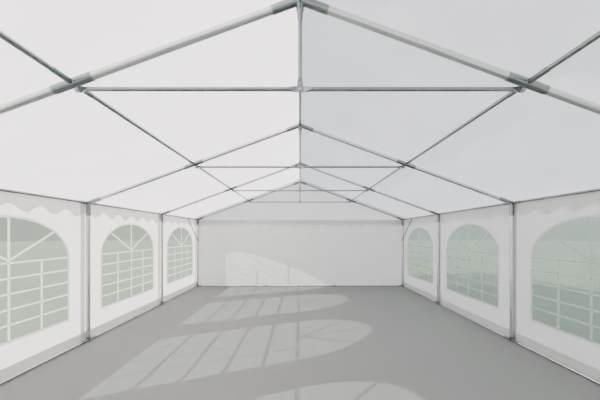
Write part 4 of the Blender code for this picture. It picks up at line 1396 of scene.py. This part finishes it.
class MARQUEE_OT_side_walls(bpy.types.Operator):
    """Side walls with their windows."""

    bl_idname = "marquee.side_walls"
    bl_label = "Side walls"

    def execute(self, context):
        for side in (LEFT, RIGHT):
            wall, strip, hem = make_side_wall(side)
            panes, bar_sets = make_windows(side)
        return {"FINISHED"}


class MARQUEE_OT_end_walls(bpy.types.Operator):
    """Back wall, front walls, header and the rolled door sheet."""

    bl_idname = "marquee.end_walls"
    bl_label = "End walls"

    def execute(self, context):
        half, door, head = HALF_SPAN + END_WALL_PAST, windows().door_width / 2, windows().door_head
        inner = door - 0.0004
        panels = [
            ("back_wall_sheet", "back_wall", BACK, -half, half, WALL_FOOT, False),
            ("front_wall_left_sheet", "front_wall_left", FRONT, -half, -door, WALL_FOOT, True),
            ("front_wall_right_sheet", "front_wall_right", FRONT, door, half, WALL_FOOT, True),
            ("front_header_sheet", "front_wall_header", FRONT, -inner, inner, head, False),
        ]
        for name, node, end, low_u, high_u, low_z, hemmed in panels:
            wall, hems = make_end_wall(name, node, end, low_u, high_u, low_z, WALL_TOP, hemmed)
        roll, length = make_door_roll()
        ties = make_ties()
        return {"FINISHED"}


def far_lamp(name, strength, size, colour, travel):
    """A lamp so far off that its light is parallel. It shines along travel: turned by yaw about Z
    after it is tilted from straight down about X."""
    lamp = bpy.data.lights.new(name, "SUN")
    lamp.energy, lamp.angle, lamp.color = strength, size, hex_colour(colour)
    made = bpy.data.objects.new(name, lamp)
    travel = unit(travel)
    made.rotation_euler = (math.acos(-travel[2]), 0, math.atan2(travel[1], travel[0]) - math.pi / 2)
    bpy.context.scene.collection.objects.link(made)


class MARQUEE_OT_studio(bpy.types.Operator):
    """Pale floor, soft light and the camera."""

    bl_idname = "marquee.studio"
    bl_label = "Studio"

    def execute(self, context):
        settings = context.scene.marquee_studio
        # The floor: rings round the middle, close together under the tent and wider further out
        radius = np.concatenate([np.linspace(0.01, 12, 13), np.geomspace(14, 90, 12)])
        sides = 72
        rings = radius[:, None, None] * around((1, 0, 0), (0, 1, 0), sides)
        mesh = bpy.data.meshes.new("studio_floor")
        faces = grid_quads(len(radius), sides, False, True).tolist() + [list(range(sides))]
        mesh.from_pydata(rings.reshape(-1, 3).tolist(), [], faces)
        mesh.materials.append(finish("floor"))
        floor = bpy.data.objects.new("studio_floor", mesh)
        context.scene.collection.objects.link(floor)
        # The surround: brighter overhead than at the horizon, and on the right than on the left
        world = bpy.data.worlds.new("pale_surround")
        context.scene.world = world
        world.use_nodes = True
        back = world.node_tree.nodes["Background"]
        back.inputs["Color"].default_value = hex_colour("#E2E9F0") + (1.0,)
        add = partial(add_node, world.node_tree)
        heading = add("ShaderNodeTexCoord").outputs["Generated"]
        parts = add("ShaderNodeSeparateXYZ", None, {0: heading}).outputs
        horizon, sky, lean = settings.horizon, settings.sky, settings.lean
        rise = add("ShaderNodeMapRange", None, {0: parts[2], 1: 0.0, 2: 0.9, 3: horizon, 4: sky})
        aside = add("ShaderNodeMapRange", None, {0: parts[0], 1: -1.0, 2: 1.0, 3: 1 - lean, 4: 1 + lean})
        strength = add("ShaderNodeMath", {"operation": "MULTIPLY"}, {0: rise, 1: aside})
        world.node_tree.links.new(strength.outputs[0], back.inputs["Strength"])
        far_lamp("sun_lamp", settings.sun, settings.sun_size, "#FFF1EC", (2.47, 0.94, -1.0))
        far_lamp("fill_lamp", settings.fill, math.radians(70), "#F6F8FA", (-0.6, -1.0, -0.45))
        # The camera looks level along the tent. The photograph is 600 pixels wide, and its eye
        # level lies 35 pixels below the middle
        view = bpy.data.cameras.new("photo_view")
        view.lens, view.sensor_width, view.shift_y = settings.lens, 36.0, 35 / 600
        view.clip_start, view.clip_end = 0.01, 300.0
        eye = bpy.data.objects.new("photo_view", view)
        eye.location = settings.eye
        eye.rotation_euler = (math.pi / 2, 0, 0)
        context.scene.collection.objects.link(eye)
        context.scene.camera = eye
        return {"FINISHED"}


OPERATORS = (
    MARQUEE_OT_studio,
    MARQUEE_OT_posts,
    MARQUEE_OT_rafters,
    MARQUEE_OT_king_posts,
    MARQUEE_OT_tie_beams,
    MARQUEE_OT_long_tubes,
    MARQUEE_OT_braces,
    MARQUEE_OT_roof,
    MARQUEE_OT_side_walls,
    MARQUEE_OT_end_walls,
)

GROUPS = {
    "marquee_steel": MarqueeSteel,
    "marquee_sheets": MarqueeSheets,
    "marquee_windows": MarqueeWindows,
    "marquee_colours": MarqueeColours,
    "marquee_studio": MarqueeStudio,
}


class MARQUEE_PT_panel(bpy.types.Panel):
    """Lists the marquee's sizes, colours and pieces."""

    bl_idname = "MARQUEE_PT_panel"
    bl_label = "Marquee tent"
    bl_space_type = "VIEW_3D"
    bl_region_type = "UI"
    bl_category = "Marquee"

    def draw(self, context):
        for operator in OPERATORS:
            self.layout.operator(operator.bl_idname)
        for name in GROUPS:
            box = self.layout.box()
            group = getattr(context.scene, name)
            for key in group.bl_rna.properties.keys():
                if key not in ("rna_type", "name"):
                    box.prop(group, key)


def register():
    """Registers the property groups, the operators and the panel."""
    for name, group in GROUPS.items():
        bpy.utils.register_class(group)
        setattr(bpy.types.Scene, name, bpy.props.PointerProperty(type=group))
    for item in OPERATORS + (MARQUEE_PT_panel,):
        bpy.utils.register_class(item)


def unregister():
    """Takes them out again, last first."""
    for item in reversed(OPERATORS + (MARQUEE_PT_panel,)):
        bpy.utils.unregister_class(item)
    for name, group in reversed(list(GROUPS.items())):
        delattr(bpy.types.Scene, name)
        bpy.utils.unregister_class(group)


def main():
    """Makes every piece."""
    register()
    for operator in OPERATORS:
        area, name = operator.bl_idname.split(".")
        getattr(getattr(bpy.ops, area), name)()
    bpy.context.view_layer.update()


if __name__ == "__main__":
    main()
